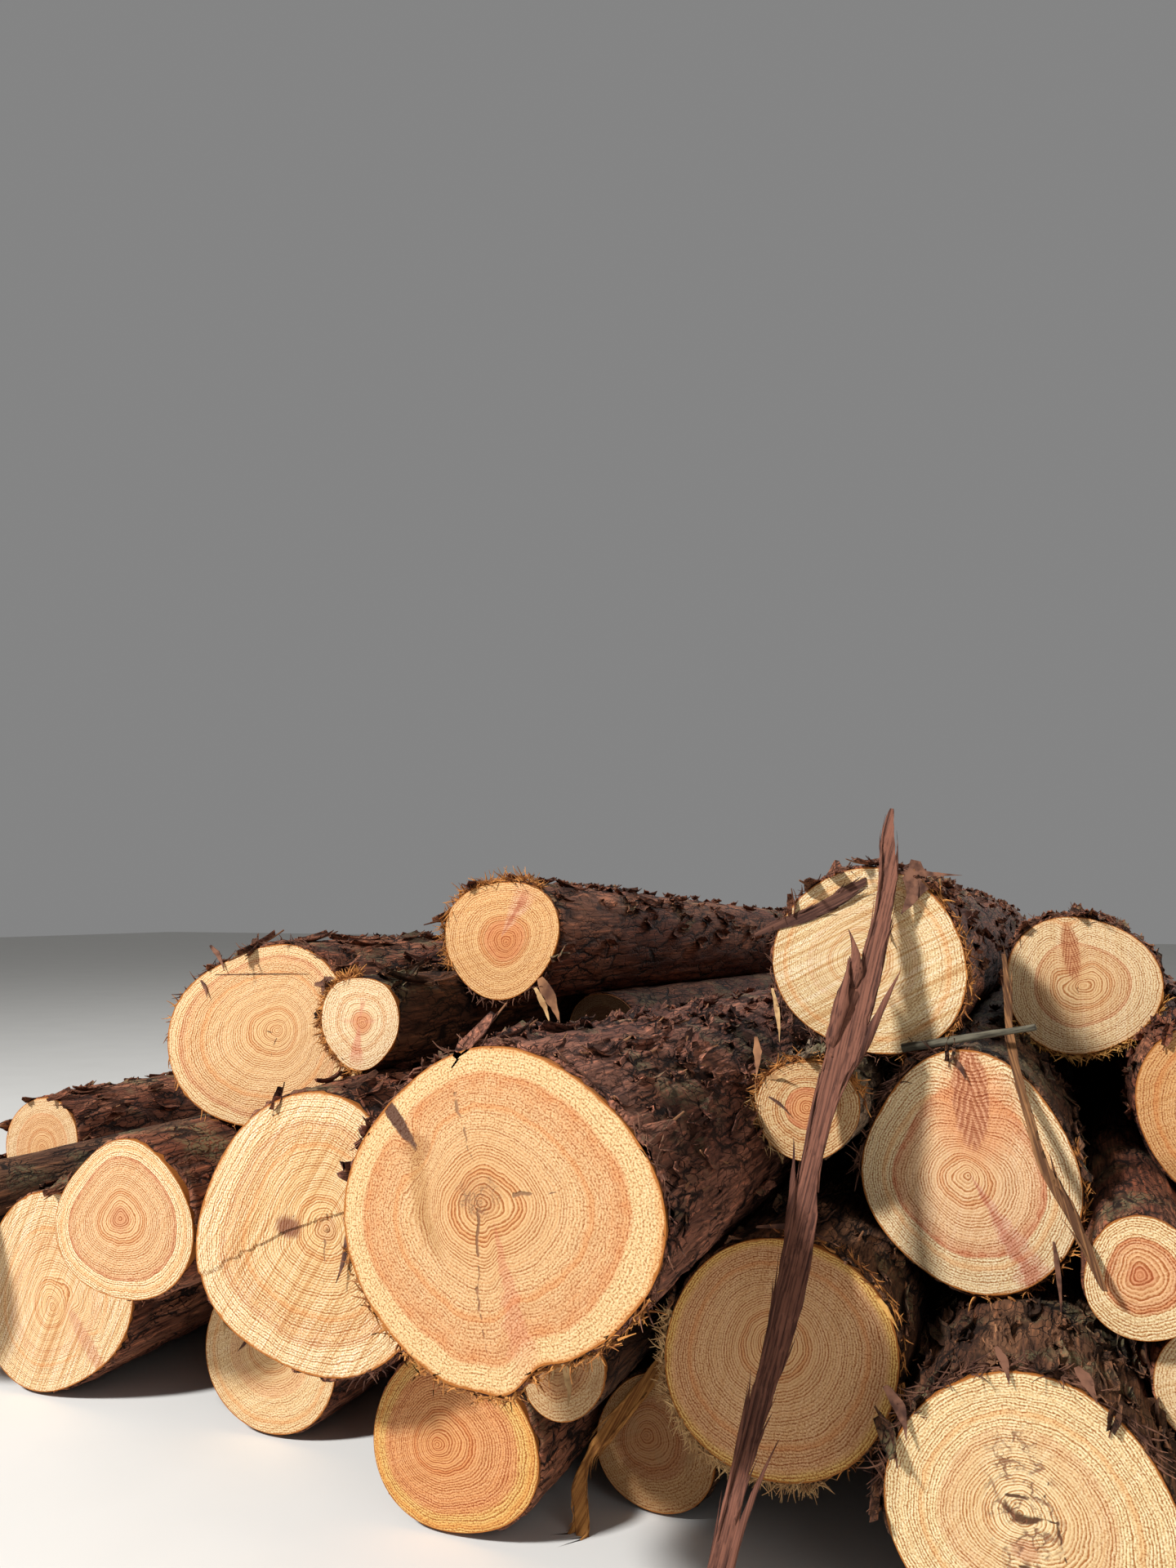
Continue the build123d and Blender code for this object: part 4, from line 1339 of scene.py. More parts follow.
    LogLook("log_hidden_right_a", Exposure.BURIED, BarkTone.RED, (0.03, -0.05), SawnFinish(**YELLOW_TAN)),
    LogLook("log_hidden_right_b", Exposure.OPEN, BarkTone.BROWN, (0.0, 0.05), SawnFinish(**PALE_TAN)),
    LogLook("log_hidden_right_upper", Exposure.OPEN, BarkTone.RED, (0.04, 0.0), SawnFinish(**PALE_TAN)),
)


# Forms


@dataclass
class LogForm:
    """The round body of one log as the frame gives it: a smooth closed outline at any distance along it."""

    node: str
    harmonics: int = 8
    corners: int = 40
    slice: float = 0.012
    inner_share: float = 0.6
    same_place: float = 0.001
    seam_slack: float = 0.01
    levels: list[float] = field(default_factory=list)
    spectra: list[np.ndarray] = field(default_factory=list)

    def __post_init__(self) -> None:
        """Read the rings of corners from the node's mesh."""
        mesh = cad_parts[self.node].data
        points = np.empty(len(mesh.vertices) * 3)
        mesh.vertices.foreach_get("co", points)
        points = points.reshape(-1, 3)
        level = -math.inf
        for spot in np.unique(np.round(points[:, 1], 4)):
            near = np.abs(points[:, 1] - spot) < self.slice
            ring = self.rim(points[near][:, 0] + 1j * points[near][:, 2])
            if spot > level + self.slice and len(ring) >= self.corners:
                level = float(spot)
                self.levels.append(level)
                self.spectra.append(self.waves(ring))
        self.front, self.back = self.levels[0], self.levels[-1]
        self.radius = float(abs(self.spectra[0][1]))

    def rim(self, points: np.ndarray) -> np.ndarray:
        """Pick the corners of a section from all points near it.

        Args:
            points: places across the log as complex numbers, in any order, some inside the rim or twice.

        Returns:
            The corners, once each, in order of their angle.
        """
        middle = (points.real.min() + points.real.max()) / 2 + 0.5j * (points.imag.min() + points.imag.max())
        away = np.abs(points - middle)
        points = points[away > self.inner_share * np.median(away)]
        points = points[np.argsort(np.angle(points - middle))]
        points = points[np.abs(points - np.roll(points, 1)) > self.same_place]
        if len(points) <= self.corners:
            return points
        before, after = np.roll(points, 1), np.roll(points, -1)
        chord = (after - before) / np.abs(after - before)
        bend = np.abs(((points - before) * np.conj(chord)).imag)
        return points[np.sort(np.argsort(bend)[len(points) - self.corners:])]

    def waves(self, ring: np.ndarray) -> np.ndarray:
        """Turn a ring of corners into waves round it.

        Args:
            ring: its corners as complex numbers, in any order.

        Returns:
            The waves, by their count round the ring, negative ones at the end.
        """
        angles = np.angle(ring - ring.mean())
        order = np.argsort((angles - SEAM_ANGLE + self.seam_slack) % (2 * math.pi))
        return np.fft.fft(ring[order]) / len(ring)

    def outline(self, level: float, turns: np.ndarray) -> np.ndarray:
        """The outline at a distance along the log.

        Args:
            level: where along the log, in metres.
            turns: how far round, from 0 to 1, starting underneath.

        Returns:
            The points as complex numbers, sideways and upward.
        """
        spot = np.interp(level, self.levels, np.arange(len(self.levels)))
        low = min(int(spot), len(self.levels) - 2)
        spectrum = self.spectra[low] * (1 - (spot - low)) + self.spectra[low + 1] * (spot - low)
        result = np.full(len(turns), spectrum[0])
        for wave in range(1, self.harmonics + 1):
            result += spectrum[wave] * np.exp(2j * math.pi * wave * turns)
            result += spectrum[-wave] * np.exp(-2j * math.pi * wave * turns)
        return result

    def middle(self, level: float) -> complex:
        """The middle of the outline at a distance along the log."""
        real = np.interp(level, self.levels, [wave[0].real for wave in self.spectra])
        return complex(real, np.interp(level, self.levels, [wave[0].imag for wave in self.spectra]))

    def inset(self, level: float, turns: np.ndarray, depth: object) -> np.ndarray:
        """The outline moved inwards by a depth in metres."""
        line = self.outline(level, turns) - self.middle(level)
        return self.middle(level) + line * (1 - depth / np.abs(line))


def in_space(line: np.ndarray, level: object) -> np.ndarray:
    """Points in the frame from complex places across the log and a distance along it."""
    return np.stack([line.real, np.broadcast_to(level, line.shape), line.imag], axis=-1)


@dataclass
class SawnEnd:
    """A log's sawn face with the short wall of wood behind it, as one closed piece."""

    form: LogForm
    look: LogLook
    bark: float
    stepped_rings: int = 34
    plain_rings: int = 2
    sectors: int = 160
    wall: float = 0.035
    edge_reach: float = 0.004
    edge_gap: float = 0.0004

    def build(self, name: str, behind: bool) -> bpy.types.Object:
        """Build the piece.

        Args:
            name: the piece's name.
            behind: whether it is the log's far end.

        Returns:
            The piece.
        """
        level = self.form.back if behind else self.form.front
        inner = level - self.wall if behind else level + self.wall
        centre = self.form.middle(level)
        pith = centre + complex(*self.look.pith) * self.form.radius
        turns = np.arange(self.sectors) / self.sectors
        stepped = self.look.step is not None and not behind
        count = self.stepped_rings if stepped else self.plain_rings
        shares = np.arange(1, count + 1) / count
        rim = self.form.inset(level, turns, self.bark)
        rows = []
        share_rows = []
        for share in shares:
            row = in_space(pith + (rim - pith) * share, level)
            if stepped:
                self.cut_step(row, centre)
            rows.append(row)
            share_rows.append(np.full(len(turns), share))
        rows.append(in_space(self.form.inset(inner, turns, self.bark), inner))
        share_rows.append(np.full(len(turns), 1.0))
        order = slice(None, None, -1) if behind else slice(None)
        rings = np.array(rows[order])
        face_pole = np.array([pith.real, level, pith.imag])
        wall_pole = in_space(np.array([self.form.middle(inner)]), inner)[0]
        poles = (wall_pole, face_pole) if behind else (face_pole, wall_pole)
        vertices, faces = loft(rings, *poles)
        share = np.concatenate([*share_rows[order], [1.0, 0.0] if behind else [0.0, 1.0]])
        flat = vertices[:, [0, 2]] - np.array([centre.real, centre.imag])
        numbers = {"share": share, "reach": share * self.form.radius}
        return new_object(name, build_mesh(name, vertices, faces, numbers, flat, rounded=False))

    def cut_step(self, row: np.ndarray, centre: complex) -> None:
        """Set the lower part of a row of points back, and draw the points at the step's edge onto it.

        Args:
            row: the points, which are changed.
            centre: the middle of the face.
        """
        step, radius = self.look.step, self.form.radius
        drop = step.drop((row[:, 0] - centre.real) / radius, (row[:, 2] - centre.imag) / radius) * radius
        edge = np.abs(drop) < self.edge_reach
        row[edge, 2] += (drop - np.sign(drop) * self.edge_gap)[edge]
        row[:, 1] += np.where(drop > 0, step.depth, 0.0)


@dataclass
class BarkCoat:
    """The bark round one log, as a closed coat with ragged lips at both ends."""

    form: LogForm
    look: LogLook
    bark: float
    cell: float = 0.012
    near_step: float = 0.012
    far_step: float = 0.034
    near_reach: float = 0.45
    buried_cell: float = 1.3
    buried_step: float = 3.5
    buried_reach: float = 0.6
    ragged: float = 0.014
    least_rag: float = 0.15
    lip_back: float = 0.028
    lip_gap: float = 0.004
    front_round: float = 0.45
    back_round: float = 0.4
    least_open: float = 0.25
    near_open: float = 1.3
    far_open: float = 0.35
    fade_length: float = 1.6

    def levels(self) -> np.ndarray:
        """Space the rings of the coat along the log, closer together near the front.

        Returns:
            Their distances along it in metres.
        """
        open_log = self.look.exposure is Exposure.OPEN
        far = self.far_step if open_log else self.far_step * self.buried_step
        reach = self.near_reach if open_log else self.near_reach * self.buried_reach
        near = np.arange(0.0, reach, self.near_step)
        total = self.form.back - self.form.front
        rest = np.linspace(reach, total, max(2, int((total - reach) / far)))
        return self.form.front + np.concatenate([near, rest])

    def build(self, name: str, seed: int) -> bpy.types.Object:
        """Build the smooth coat that the relief is grown on.

        Args:
            name: the piece's name.
            seed: seed of its ragged lips.

        Returns:
            The piece.
        """
        draw = np.random.default_rng(seed)
        cell = self.cell if self.look.exposure is Exposure.OPEN else self.cell * self.buried_cell
        around = int(2 * math.pi * self.form.radius / cell)
        turns = np.arange(around) / around
        levels = self.levels()
        front_rag = self.ragged * (self.least_rag + draw.random(around) ** 2)
        back_rag = -self.ragged * (self.least_rag + draw.random(around) ** 2)
        first = levels[0]
        rows = [
            in_space(self.form.inset(first + self.lip_back, turns, self.bark), first + self.lip_back),
            in_space(self.form.inset(first, turns, self.bark), first + front_rag),
        ]
        coat = [0.0, 0.0]
        for index, level in enumerate(levels):
            place = np.full(around, level)
            depth: object = 0.0
            if index == 0:
                place, depth = level + front_rag, self.bark * self.front_round
            elif index == 1:
                place = np.maximum(level, first + front_rag + self.lip_gap)
            elif index == len(levels) - 1:
                place, depth = level + back_rag, self.bark * self.back_round
            rows.append(in_space(self.form.inset(level, turns, depth), place))
            coat.append(1.0)
        last = levels[-1]
        rows.append(in_space(self.form.inset(last, turns, self.bark), last + back_rag))
        rows.append(in_space(self.form.inset(last, turns, self.bark), last - self.lip_back))
        coat += [0.0, 0.0]
        rings = np.array(rows)
        vertices, faces = loft(rings, rings[0].mean(axis=0), rings[-1].mean(axis=0))
        mask = np.concatenate([np.repeat(coat, around), [0.0, 0.0]])
        heights = np.interp(vertices[:, 1], self.form.levels, [wave[0].imag for wave in self.form.spectra])
        above = (vertices[:, 2] - heights) / self.form.radius
        openness = np.clip(self.least_open + above, 0.0, 1.0) * mask
        behind = (vertices[:, 1] - self.form.front) / self.fade_length
        nearness = np.clip(self.near_open - behind, self.far_open, 1.0)
        mesh = build_mesh(name, vertices, faces, {"coat": mask, "openness": openness * nearness})
        return new_object(name, mesh)


# Geometry trees


class ReliefTree(GeometryTree):
    """Sinks fissures between long scaly plates into a bark coat."""

    def __init__(self) -> None:
        """Wire the tree."""
        super().__init__("bark_relief")
        depth = self.take("Depth")
        material = self.take("Material", "Material")
        place = self.place()
        warped = self.vector("ADD", place, self.sway(place, *PLATE_SWAY))
        plates = self.vector("MULTIPLY", warped, (1.0, 0.13, 1.0))
        scales = self.vector("MULTIPLY", warped, (1.0, 0.33, 1.0))
        threads = self.vector("MULTIPLY", place, (1.0, 0.08, 1.0))
        fissure = self.smooth(self.gaps(plates, PLATES), 0.16, 0.02) * 0.45
        sink = fissure + self.levels(plates, PLATES)[0] * 0.3
        sink = sink + self.levels(scales, SCALES)[1] * 0.25
        sink = sink + (self.noise(threads, 75.0, 3.0) - 0.5) * 1.3
        sink = self.math("ADD", sink, 0.0, clamp=True)
        amount = (sink * depth) * (self.stored("coat") * -1.0)
        inward = self.scaled(self.wire("GeometryNodeInputNormal", {}), amount)
        sunk = self.moved(self.given("Geometry"), inward)
        inputs = {"Geometry": sunk, "Name": "depth", "Value": sink}
        kept = self.wire("GeometryNodeStoreNamedAttribute", inputs, data_type="FLOAT", domain="POINT")
        self.close(kept, material)


@dataclass(frozen=True)
class Curl:
    """How a flake is bent: its sides roll up, its ends rise and one end swings aside, each as a share."""

    roll: float
    arch: float
    skew: float


class FlakeTree(GeometryTree):
    """Strews curled flakes or lying shreds over a bark coat."""

    CURLS = (Curl(0.30, 0.35, 0.05), Curl(0.55, 0.15, -0.25), Curl(-0.25, 0.5, 0.3))
    TURNS = ((-0.06, 0.16, 11), (-0.12, 0.12, 12), (-0.35, 0.35, 13))
    WIDTHS = (0.45, 1.25, 17)
    LENGTHS = (0.6, 1.3, 18)
    SEED = 7

    def __init__(self) -> None:
        """Wire the tree."""
        super().__init__("bark_flakes")
        density = self.take("Density")
        sizes = [self.take(name) for name in ("Length", "Width", "Thickness", "Lift")]
        material = self.take("Material", "Material")
        points = self.wire("GeometryNodeDistributePointsOnFaces", {
            "Mesh": self.given("Geometry"),
            "Density": density * self.stored("openness"),
            "Seed": self.SEED,
        }, "Points", distribute_method="RANDOM")
        turn = self.combine(*(self.random(*span) for span in self.TURNS))
        stance = self.stance(points.beside("Normal"), turn)
        width = self.random(*self.WIDTHS)
        size = self.combine(width, width * self.random(*self.LENGTHS), 1.0)
        flakes = [self.flake(index, curl, *sizes) for index, curl in enumerate(self.CURLS)]
        self.close(self.planted(points, flakes, stance, size), material)

    def flake(self, index: int, curl: Curl, length: Signal, width: Signal, thickness: Signal,
              lift: Signal) -> Signal:
        """One closed flake of a few dozen faces.

        Args:
            index: which variant it is.
            curl: how it is bent.
            length: its length in metres.
            width: its width in metres.
            thickness: its thickness in metres.
            lift: how far its ends rise in metres.

        Returns:
            Its geometry.
        """
        size = self.combine(width, length, thickness)
        counts = {"Vertices X": 3, "Vertices Y": 6, "Vertices Z": 2}
        block = self.wire("GeometryNodeMeshCube", {"Size": size, **counts}, "Mesh")
        x, y, _ = self.separate(self.place())
        across = x / width
        along = y / length
        rag = self.noise(self.combine(along * 3.0, across, index * 5.0), 1.7, 2.0)
        narrow = abs(along) * -1.3 + (rag - 0.45)
        aside = x * narrow + (along * along) * (width * curl.skew)
        roll = (across * across) * (width * (curl.roll * 2.2))
        rise = (along * along) * (lift * (curl.arch * 8.0))
        return self.moved(block, self.combine(aside, 0.0, roll + rise + rag * 0.003))


class FibreTree(GeometryTree):
    """Sets thin bent fibres on points, along the direction that each point carries."""

    BENDS = ((0.25, 0.1), (-0.35, 0.2), (0.1, -0.4))

    def __init__(self) -> None:
        """Wire the tree."""
        super().__init__("torn_fibres")
        length = self.take("Length")
        thickness = self.take("Thickness")
        material = self.take("Material", "Material")
        turn = self.combine(0.0, 0.0, self.random(0.0, 6.28, 3))
        stance = self.stance(self.stored("aim", "FLOAT_VECTOR"), turn)
        points = self.wire("GeometryNodeMeshToPoints", {"Mesh": self.given("Geometry")})
        fibres = [self.fibre(bend, length, thickness) for bend in self.BENDS]
        self.close(self.planted(points, fibres, stance, self.stored("size")), material)

    def fibre(self, bend: tuple[float, float], length: Signal, thickness: Signal) -> Signal:
        """One thin tapering fibre that stands along Z and bends aside.

        Args:
            bend: how far its tip swings in X and Y, as shares of its length.
            length: its length in metres.
            thickness: its thickness at the root in metres.

        Returns:
            Its geometry.
        """
        block = self.wire("GeometryNodeMeshCone", {
            "Vertices": 4,
            "Side Segments": 3,
            "Radius Bottom": thickness,
            "Radius Top": thickness * 0.25,
            "Depth": length,
        }, "Mesh")
        part = self.separate(self.place())[2] / length
        swing = (part * part) * length
        return self.moved(block, self.combine(swing * bend[0], swing * bend[1], 0.0))


class StripTree(GeometryTree):
    """Frays and buckles the plain body of a loose strip."""

    BUCKLE_WAVES = (14.0, 3.0)
    FRAY_WAVES = (70.0, 2.0)

    def __init__(self) -> None:
        """Wire the tree."""
        super().__init__("strip_fray")
        fray = self.take("Fray")
        material = self.take("Material", "Material")
        place = self.place()
        buckle = self.sway(place, *self.BUCKLE_WAVES, fray)
        ragged = self.sway(place, *self.FRAY_WAVES, fray * 0.35)
        offset = self.vector("ADD", buckle, ragged)
        self.close(self.moved(self.given("Geometry"), offset), material)


# Sub-assemblies


# Sizes in metres of the loose bark
FLAKE_SIZES = {"Length": 0.095, "Width": 0.034, "Thickness": 0.0022, "Lift": 0.010}
SHRED_SIZES = {"Length": 0.14, "Width": 0.006, "Thickness": 0.0014, "Lift": 0.012}
FIBRE_THICKNESS = 0.0017
SPLINTER_THICKNESS = 0.0018
SPLINTER_GAP = 0.0015
SPLINTER_POINTS = 12
SHARD_POINTS = 9

# Spans that torn fibres are drawn from: depth in shares of the bark, distance behind the face in metres,
# how far they point outward, sideways and forward, and their size
FRINGE_DEPTHS = (0.1, 1.3)
FRINGE_BACKS = (0.004, 0.03)
FRINGE_OUTWARD = (-0.2, 1.2)
FRINGE_SIDEWAYS = (0.2, 1.2)
FRINGE_FORWARD = (0.0, 0.8)
FRINGE_SIZES = (0.4, 1.4)

# Spans that torn pieces at a strip's edges are drawn from: level and length in shares, the rest in metres
SHARD_LEVELS = (0.05, 0.9)
SHARD_LENGTHS = (0.3, 1.0)
SHARD_ASIDE = (0.0, 0.012)
SHARD_OUT = (-0.012, 0.012)
SHARD_HALVES = (0.0015, 0.0045)

# Spans of the jagged width of splinters and torn pieces, in shares of the plain width
SPLINTER_JAGS = (0.75, 1.1)
SHARD_JAGS = (0.8, 1.15)


@dataclass
class DressedLog:
    """One log: its two sawn ends, its bark coat, and the flakes and fibres on it."""

    look: LogLook
    seed: int
    relief: ReliefTree
    flakes: FlakeTree
    fibres: FibreTree
    bark_share: float = 0.03
    bark_least: float = 0.003
    flake_share: float = 1.8
    shred_share: float = 0.7

    def build(self) -> None:
        """Build and declare every piece of the log."""
        form = LogForm(self.look.node, self.look.outline_waves)
        bark = self.bark_least + self.bark_share * form.radius
        wood = self.look.sawn.material(self.look.node + "_sawn_wood", form.radius)
        for behind, suffix in ((False, "_front_cut"), (True, "_back_cut")):
            end = SawnEnd(form, self.look, bark).build(self.look.node + suffix, behind)
            end.data.materials.append(wood)
            declare(end, self.look.node)
        coat_finish = material_for(self.look.tone)
        smooth = BarkCoat(form, self.look, bark).build(self.look.node + "_coat", self.seed)
        values = {"Depth": bark, "Material": coat_finish}
        name = self.look.node + "_bark"
        coat = new_object(name, grown(name, smooth, self.relief, values))
        bpy.data.objects.remove(smooth)
        self.strew(coat, coat_finish)
        for index, fringe in enumerate(self.look.fringes):
            self.fray(form, bark, fringe, index)
        if self.look.splinters:
            self.splinter(form)
        declare(coat, self.look.node)

    def strew(self, coat: bpy.types.Object, finish: bpy.types.Material) -> None:
        """Grow loose flakes and lying shreds on the coat.

        Args:
            coat: the bark coat.
            finish: the coat's own finish, which the flakes share.
        """
        if self.look.exposure is Exposure.BURIED and not self.look.fringes:
            return
        for suffix, sizes, share, material in (
            ("_flakes", FLAKE_SIZES, self.flake_share, finish),
            ("_shreds", SHRED_SIZES, self.shred_share, finish_material("shreds", SHRED_BROWN)),
        ):
            values = {**sizes, "Density": self.look.flakes * share, "Material": material}
            mesh = grown(self.look.node + suffix, coat, self.flakes, values)
            declare(new_object(self.look.node + suffix, mesh), self.look.node)

    def fray(self, form: LogForm, bark: float, fringe: Fringe, index: int) -> None:
        """Set torn fibres along part of the front rim.

        Args:
            form: the log's form.
            bark: the bark's thickness in metres.
            fringe: which part of the rim, and how it looks.
            index: the fringe's number on this log.
        """
        draw = np.random.default_rng(self.seed * 10 + index)
        angles = np.radians(draw.uniform(fringe.start, fringe.end, fringe.count))
        turns = (angles - SEAM_ANGLE) / (2 * math.pi) % 1
        depth = bark * draw.uniform(*FRINGE_DEPTHS, fringe.count)
        line = form.inset(form.front, turns, depth)
        back = draw.uniform(*FRINGE_BACKS, fringe.count)
        points = in_space(line, form.front + back)
        around = np.exp(1j * (angles + math.pi / 2)) * draw.choice([-1, 1], fringe.count)
        outward = np.exp(1j * angles) * draw.uniform(*FRINGE_OUTWARD, fringe.count) * fringe.outward
        sideways = around * draw.uniform(*FRINGE_SIDEWAYS, fringe.count) + outward
        aim = in_space(sideways, -draw.uniform(*FRINGE_FORWARD, fringe.count))
        mesh = bpy.data.meshes.new("fringe_points")
        mesh.from_pydata(points.tolist(), [], [])
        layer = mesh.attributes.new("aim", "FLOAT_VECTOR", "POINT")
        layer.data.foreach_set("vector", aim.astype(np.float32).ravel())
        layer = mesh.attributes.new("size", "FLOAT", "POINT")
        layer.data.foreach_set("value", draw.uniform(*FRINGE_SIZES, fringe.count).astype(np.float32))
        base = new_object("fringe_points", mesh)
        name = f"{self.look.node}_fringe_{index}"
        finish = finish_material("torn_fibres", fringe.finish)
        values = {"Length": fringe.length, "Thickness": FIBRE_THICKNESS, "Material": finish}
        piece = new_object(name, grown(name, base, self.fibres, values))
        bpy.data.objects.remove(base)
        declare(piece, self.look.node)

    def splinter(self, form: LogForm) -> None:
        """Set the log's splinters on its front face.

        Args:
            form: the log's form.
        """
        draw = np.random.default_rng(self.seed)
        parts = [splinter_body(item, form, draw) for item in self.look.splinters]
        vertices = np.vstack([points for points, _ in parts])
        faces: list = []
        slots: list[int] = []
        finishes = list(dict.fromkeys(item.finish for item in self.look.splinters))
        offset = 0
        for item, (points, sides) in zip(self.look.splinters, parts):
            faces += [[offset + corner for corner in side] for side in sides]
            slots += [finishes.index(item.finish)] * len(sides)
            offset += len(points)
        name = self.look.node + "_splinters"
        mesh = build_mesh(name, vertices, faces, {}, rounded=False)
        mesh.polygons.foreach_set("material_index", np.array(slots, np.int32))
        for finish in finishes:
            mesh.materials.append(finish_material("splinters", finish))
        keep_inside(mesh)
        declare(new_object(name, mesh), self.look.node)


def tapered(part: np.ndarray, steepness: float, root: float, least: float) -> np.ndarray:
    """Shares of the full width along a blade that ends in a point."""
    return np.clip(steepness * np.minimum(part + root, 1.0 - part), least, 1.0)


def splinter_body(item: Splinter, form: LogForm, draw: np.random.Generator) -> tuple[np.ndarray, list]:
    """Shape one splinter as a thin, jagged, closed blade.

    Args:
        item: the splinter.
        form: the form of the log that it sticks to.
        draw: where its jagged sides come from.

    Returns:
        Its vertices and faces.
    """
    part = np.linspace(0.0, 1.0, SPLINTER_POINTS)
    start = form.middle(form.front) + complex(*item.start) * form.radius
    run = complex(*item.end) * form.radius + form.middle(form.front) - start
    side = 1j * run / abs(run)
    spine = start + run * part + side * abs(run) * item.bow * np.sin(math.pi * part)
    half = item.width / 2 * tapered(part, 1.6, 0.25, 0.04)
    left = half * draw.uniform(*SPLINTER_JAGS, len(part))
    right = half * draw.uniform(*SPLINTER_JAGS, len(part))
    ahead = form.front - SPLINTER_GAP - item.ahead * part ** 2
    rings = np.stack([
        in_space(spine + side * left, ahead),
        in_space(spine + side * left, ahead + SPLINTER_THICKNESS),
        in_space(spine - side * right, ahead + SPLINTER_THICKNESS),
        in_space(spine - side * right, ahead),
    ], axis=1)
    return loft(rings, rings[0].mean(axis=0), rings[-1].mean(axis=0))


MATERIALS: dict[object, bpy.types.Material] = {}


def material_for(tone: BarkTone) -> bpy.types.Material:
    """The shared bark material of one tone.

    Args:
        tone: the tone.

    Returns:
        The material, built on first use.
    """
    if tone not in MATERIALS:
        MATERIALS[tone] = BARK[tone].material("bark_" + tone.value)
    return MATERIALS[tone]


def finish_material(name: str, finish: FibreFinish) -> bpy.types.Material:
    """The shared material of one fibre finish.

    Args:
        name: the material's name, if it is built now.
        finish: the finish.

    Returns:
        The material, built on first use.
    """
    if finish not in MATERIALS:
        MATERIALS[finish] = finish.material(name)
    return MATERIALS[finish]


@dataclass(frozen=True)
class Shard:
    """A bigger torn piece at an edge of a loose strip.

    The level is a share of the strip's length from its far end, and the side is -1 or 1. The rest is in
    metres: length, half the width, and how far its free end swings aside and out of the strip's plane.
    """

    level: float
    side: float
    length: float
    half: float
    aside: float
    out: float


@dataclass
class LooseStrip:
    """A loose strip or stick that takes its place and body from the frame."""

    node: str
    slot: str
    finish: FibreFinish
    fray: float
    torn_edges: int = 0
    torn_length: float = 0.16
    shards: tuple[Shard, ...] = ()
    longest_edge: float = 0.014
    most_cuts: int = 9
    weld: float = 1e-5
    edge_points: int = 24
    edge_bite: float = 0.003

    def build(self, tree: StripTree) -> None:
        """Args:
            tree: the tree that frays it.
        """
        work = bmesh.new()
        work.from_mesh(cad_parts[self.node].data)
        bmesh.ops.remove_doubles(work, verts=work.verts, dist=self.weld)
        for _ in range(self.most_cuts):
            long_edges = [edge for edge in work.edges if edge.calc_length() > self.longest_edge]
            if not long_edges:
                break
            bmesh.ops.subdivide_edges(work, edges=long_edges, cuts=1)
            bmesh.ops.triangulate(work, faces=work.faces)
        mesh = bpy.data.meshes.new(self.node + "_plain")
        work.to_mesh(mesh)
        work.free()
        points = np.empty(len(mesh.vertices) * 3)
        mesh.vertices.foreach_get("co", points)
        points = points.reshape(-1, 3)
        axes = np.linalg.svd(points - points.mean(axis=0), full_matrices=False)[2]
        finish = replace(self.finish, axis=tuple(float(part) for part in axes[0]))
        material = finish.material(self.node + "_fibre")
        if self.torn_edges:
            self.tear(points, axes, material)
        base = new_object(self.node + "_plain", mesh)
        values = {"Fray": self.fray, "Material": material}
        name = self.node + "_dressed"
        piece = new_object(name, grown(name, base, tree, values))
        bpy.data.objects.remove(base)
        declare(piece, self.node)

    def tear(self, points: np.ndarray, axes: np.ndarray, material: bpy.types.Material) -> None:
        """Set thin torn fibres along both edges of the strip.

        Args:
            points: the places of the strip's vertices.
            axes: the strip's own directions, the longest first.
            material: the strip's finish.
        """
        draw = np.random.default_rng(self.torn_edges)
        middle = points.mean(axis=0)
        local = (points - middle) @ axes.T
        low, high = local[:, 0].min(), local[:, 0].max()
        shards = list(self.shards)
        for level in draw.uniform(*SHARD_LEVELS, self.torn_edges):
            length = self.torn_length * draw.uniform(*SHARD_LENGTHS)
            swing = (draw.uniform(*SHARD_ASIDE), draw.uniform(*SHARD_OUT))
            side = draw.choice([-1.0, 1.0])
            shards.append(Shard(level, side, length, draw.uniform(*SHARD_HALVES), *swing))
        vertices: list[np.ndarray] = []
        faces: list = []
        offset = 0
        part = np.linspace(0.0, 1.0, SHARD_POINTS)
        around = np.array([(0.0, 1.0, 0.35), (0.0, -1.0, 0.35), (0.0, -1.0, -0.35), (0.0, 1.0, -0.35)])
        for shard in shards:
            levels = low + shard.level * (high - low) + shard.length * part
            edge = np.array([self.edge_at(local, level, shard.side) for level in levels])
            edge[:, 1] += shard.side * shard.aside * part ** 2
            edge[:, 2] += shard.out * part
            half = shard.half * tapered(part, 1.5, 0.3, 0.05) * draw.uniform(*SHARD_JAGS, len(part))
            rings = edge[:, None, :] + half[:, None, None] * around[None]
            blade, sides = loft(rings, rings[0].mean(axis=0), rings[-1].mean(axis=0))
            vertices.append(blade)
            faces += [[offset + corner for corner in face] for face in sides]
            offset += len(blade)
        name = self.node + "_torn_edges"
        mesh = build_mesh(name, np.vstack(vertices) @ axes + middle, faces, {})
        work = bmesh.new()
        work.from_mesh(mesh)
        bmesh.ops.recalc_face_normals(work, faces=work.faces)
        work.to_mesh(mesh)
        work.free()
        mesh.materials.append(material)
        keep_inside(mesh)
        declare(new_object(name, mesh), self.node)

    def edge_at(self, local: np.ndarray, level: float, side: float) -> np.ndarray:
        """The place of one edge of the strip at a level along it.

        Args:
            local: the strip's vertices in its own directions.
            level: distance along the strip.
            side: which edge, -1 or 1.

        Returns:
            The place in the strip's own directions.
        """
        near = np.argsort(np.abs(local[:, 0] - level))[:self.edge_points]
        spot = local[near[np.argmax(local[near, 1] * side)]]
        return np.array([level, spot[1] - side * self.edge_bite, spot[2]])


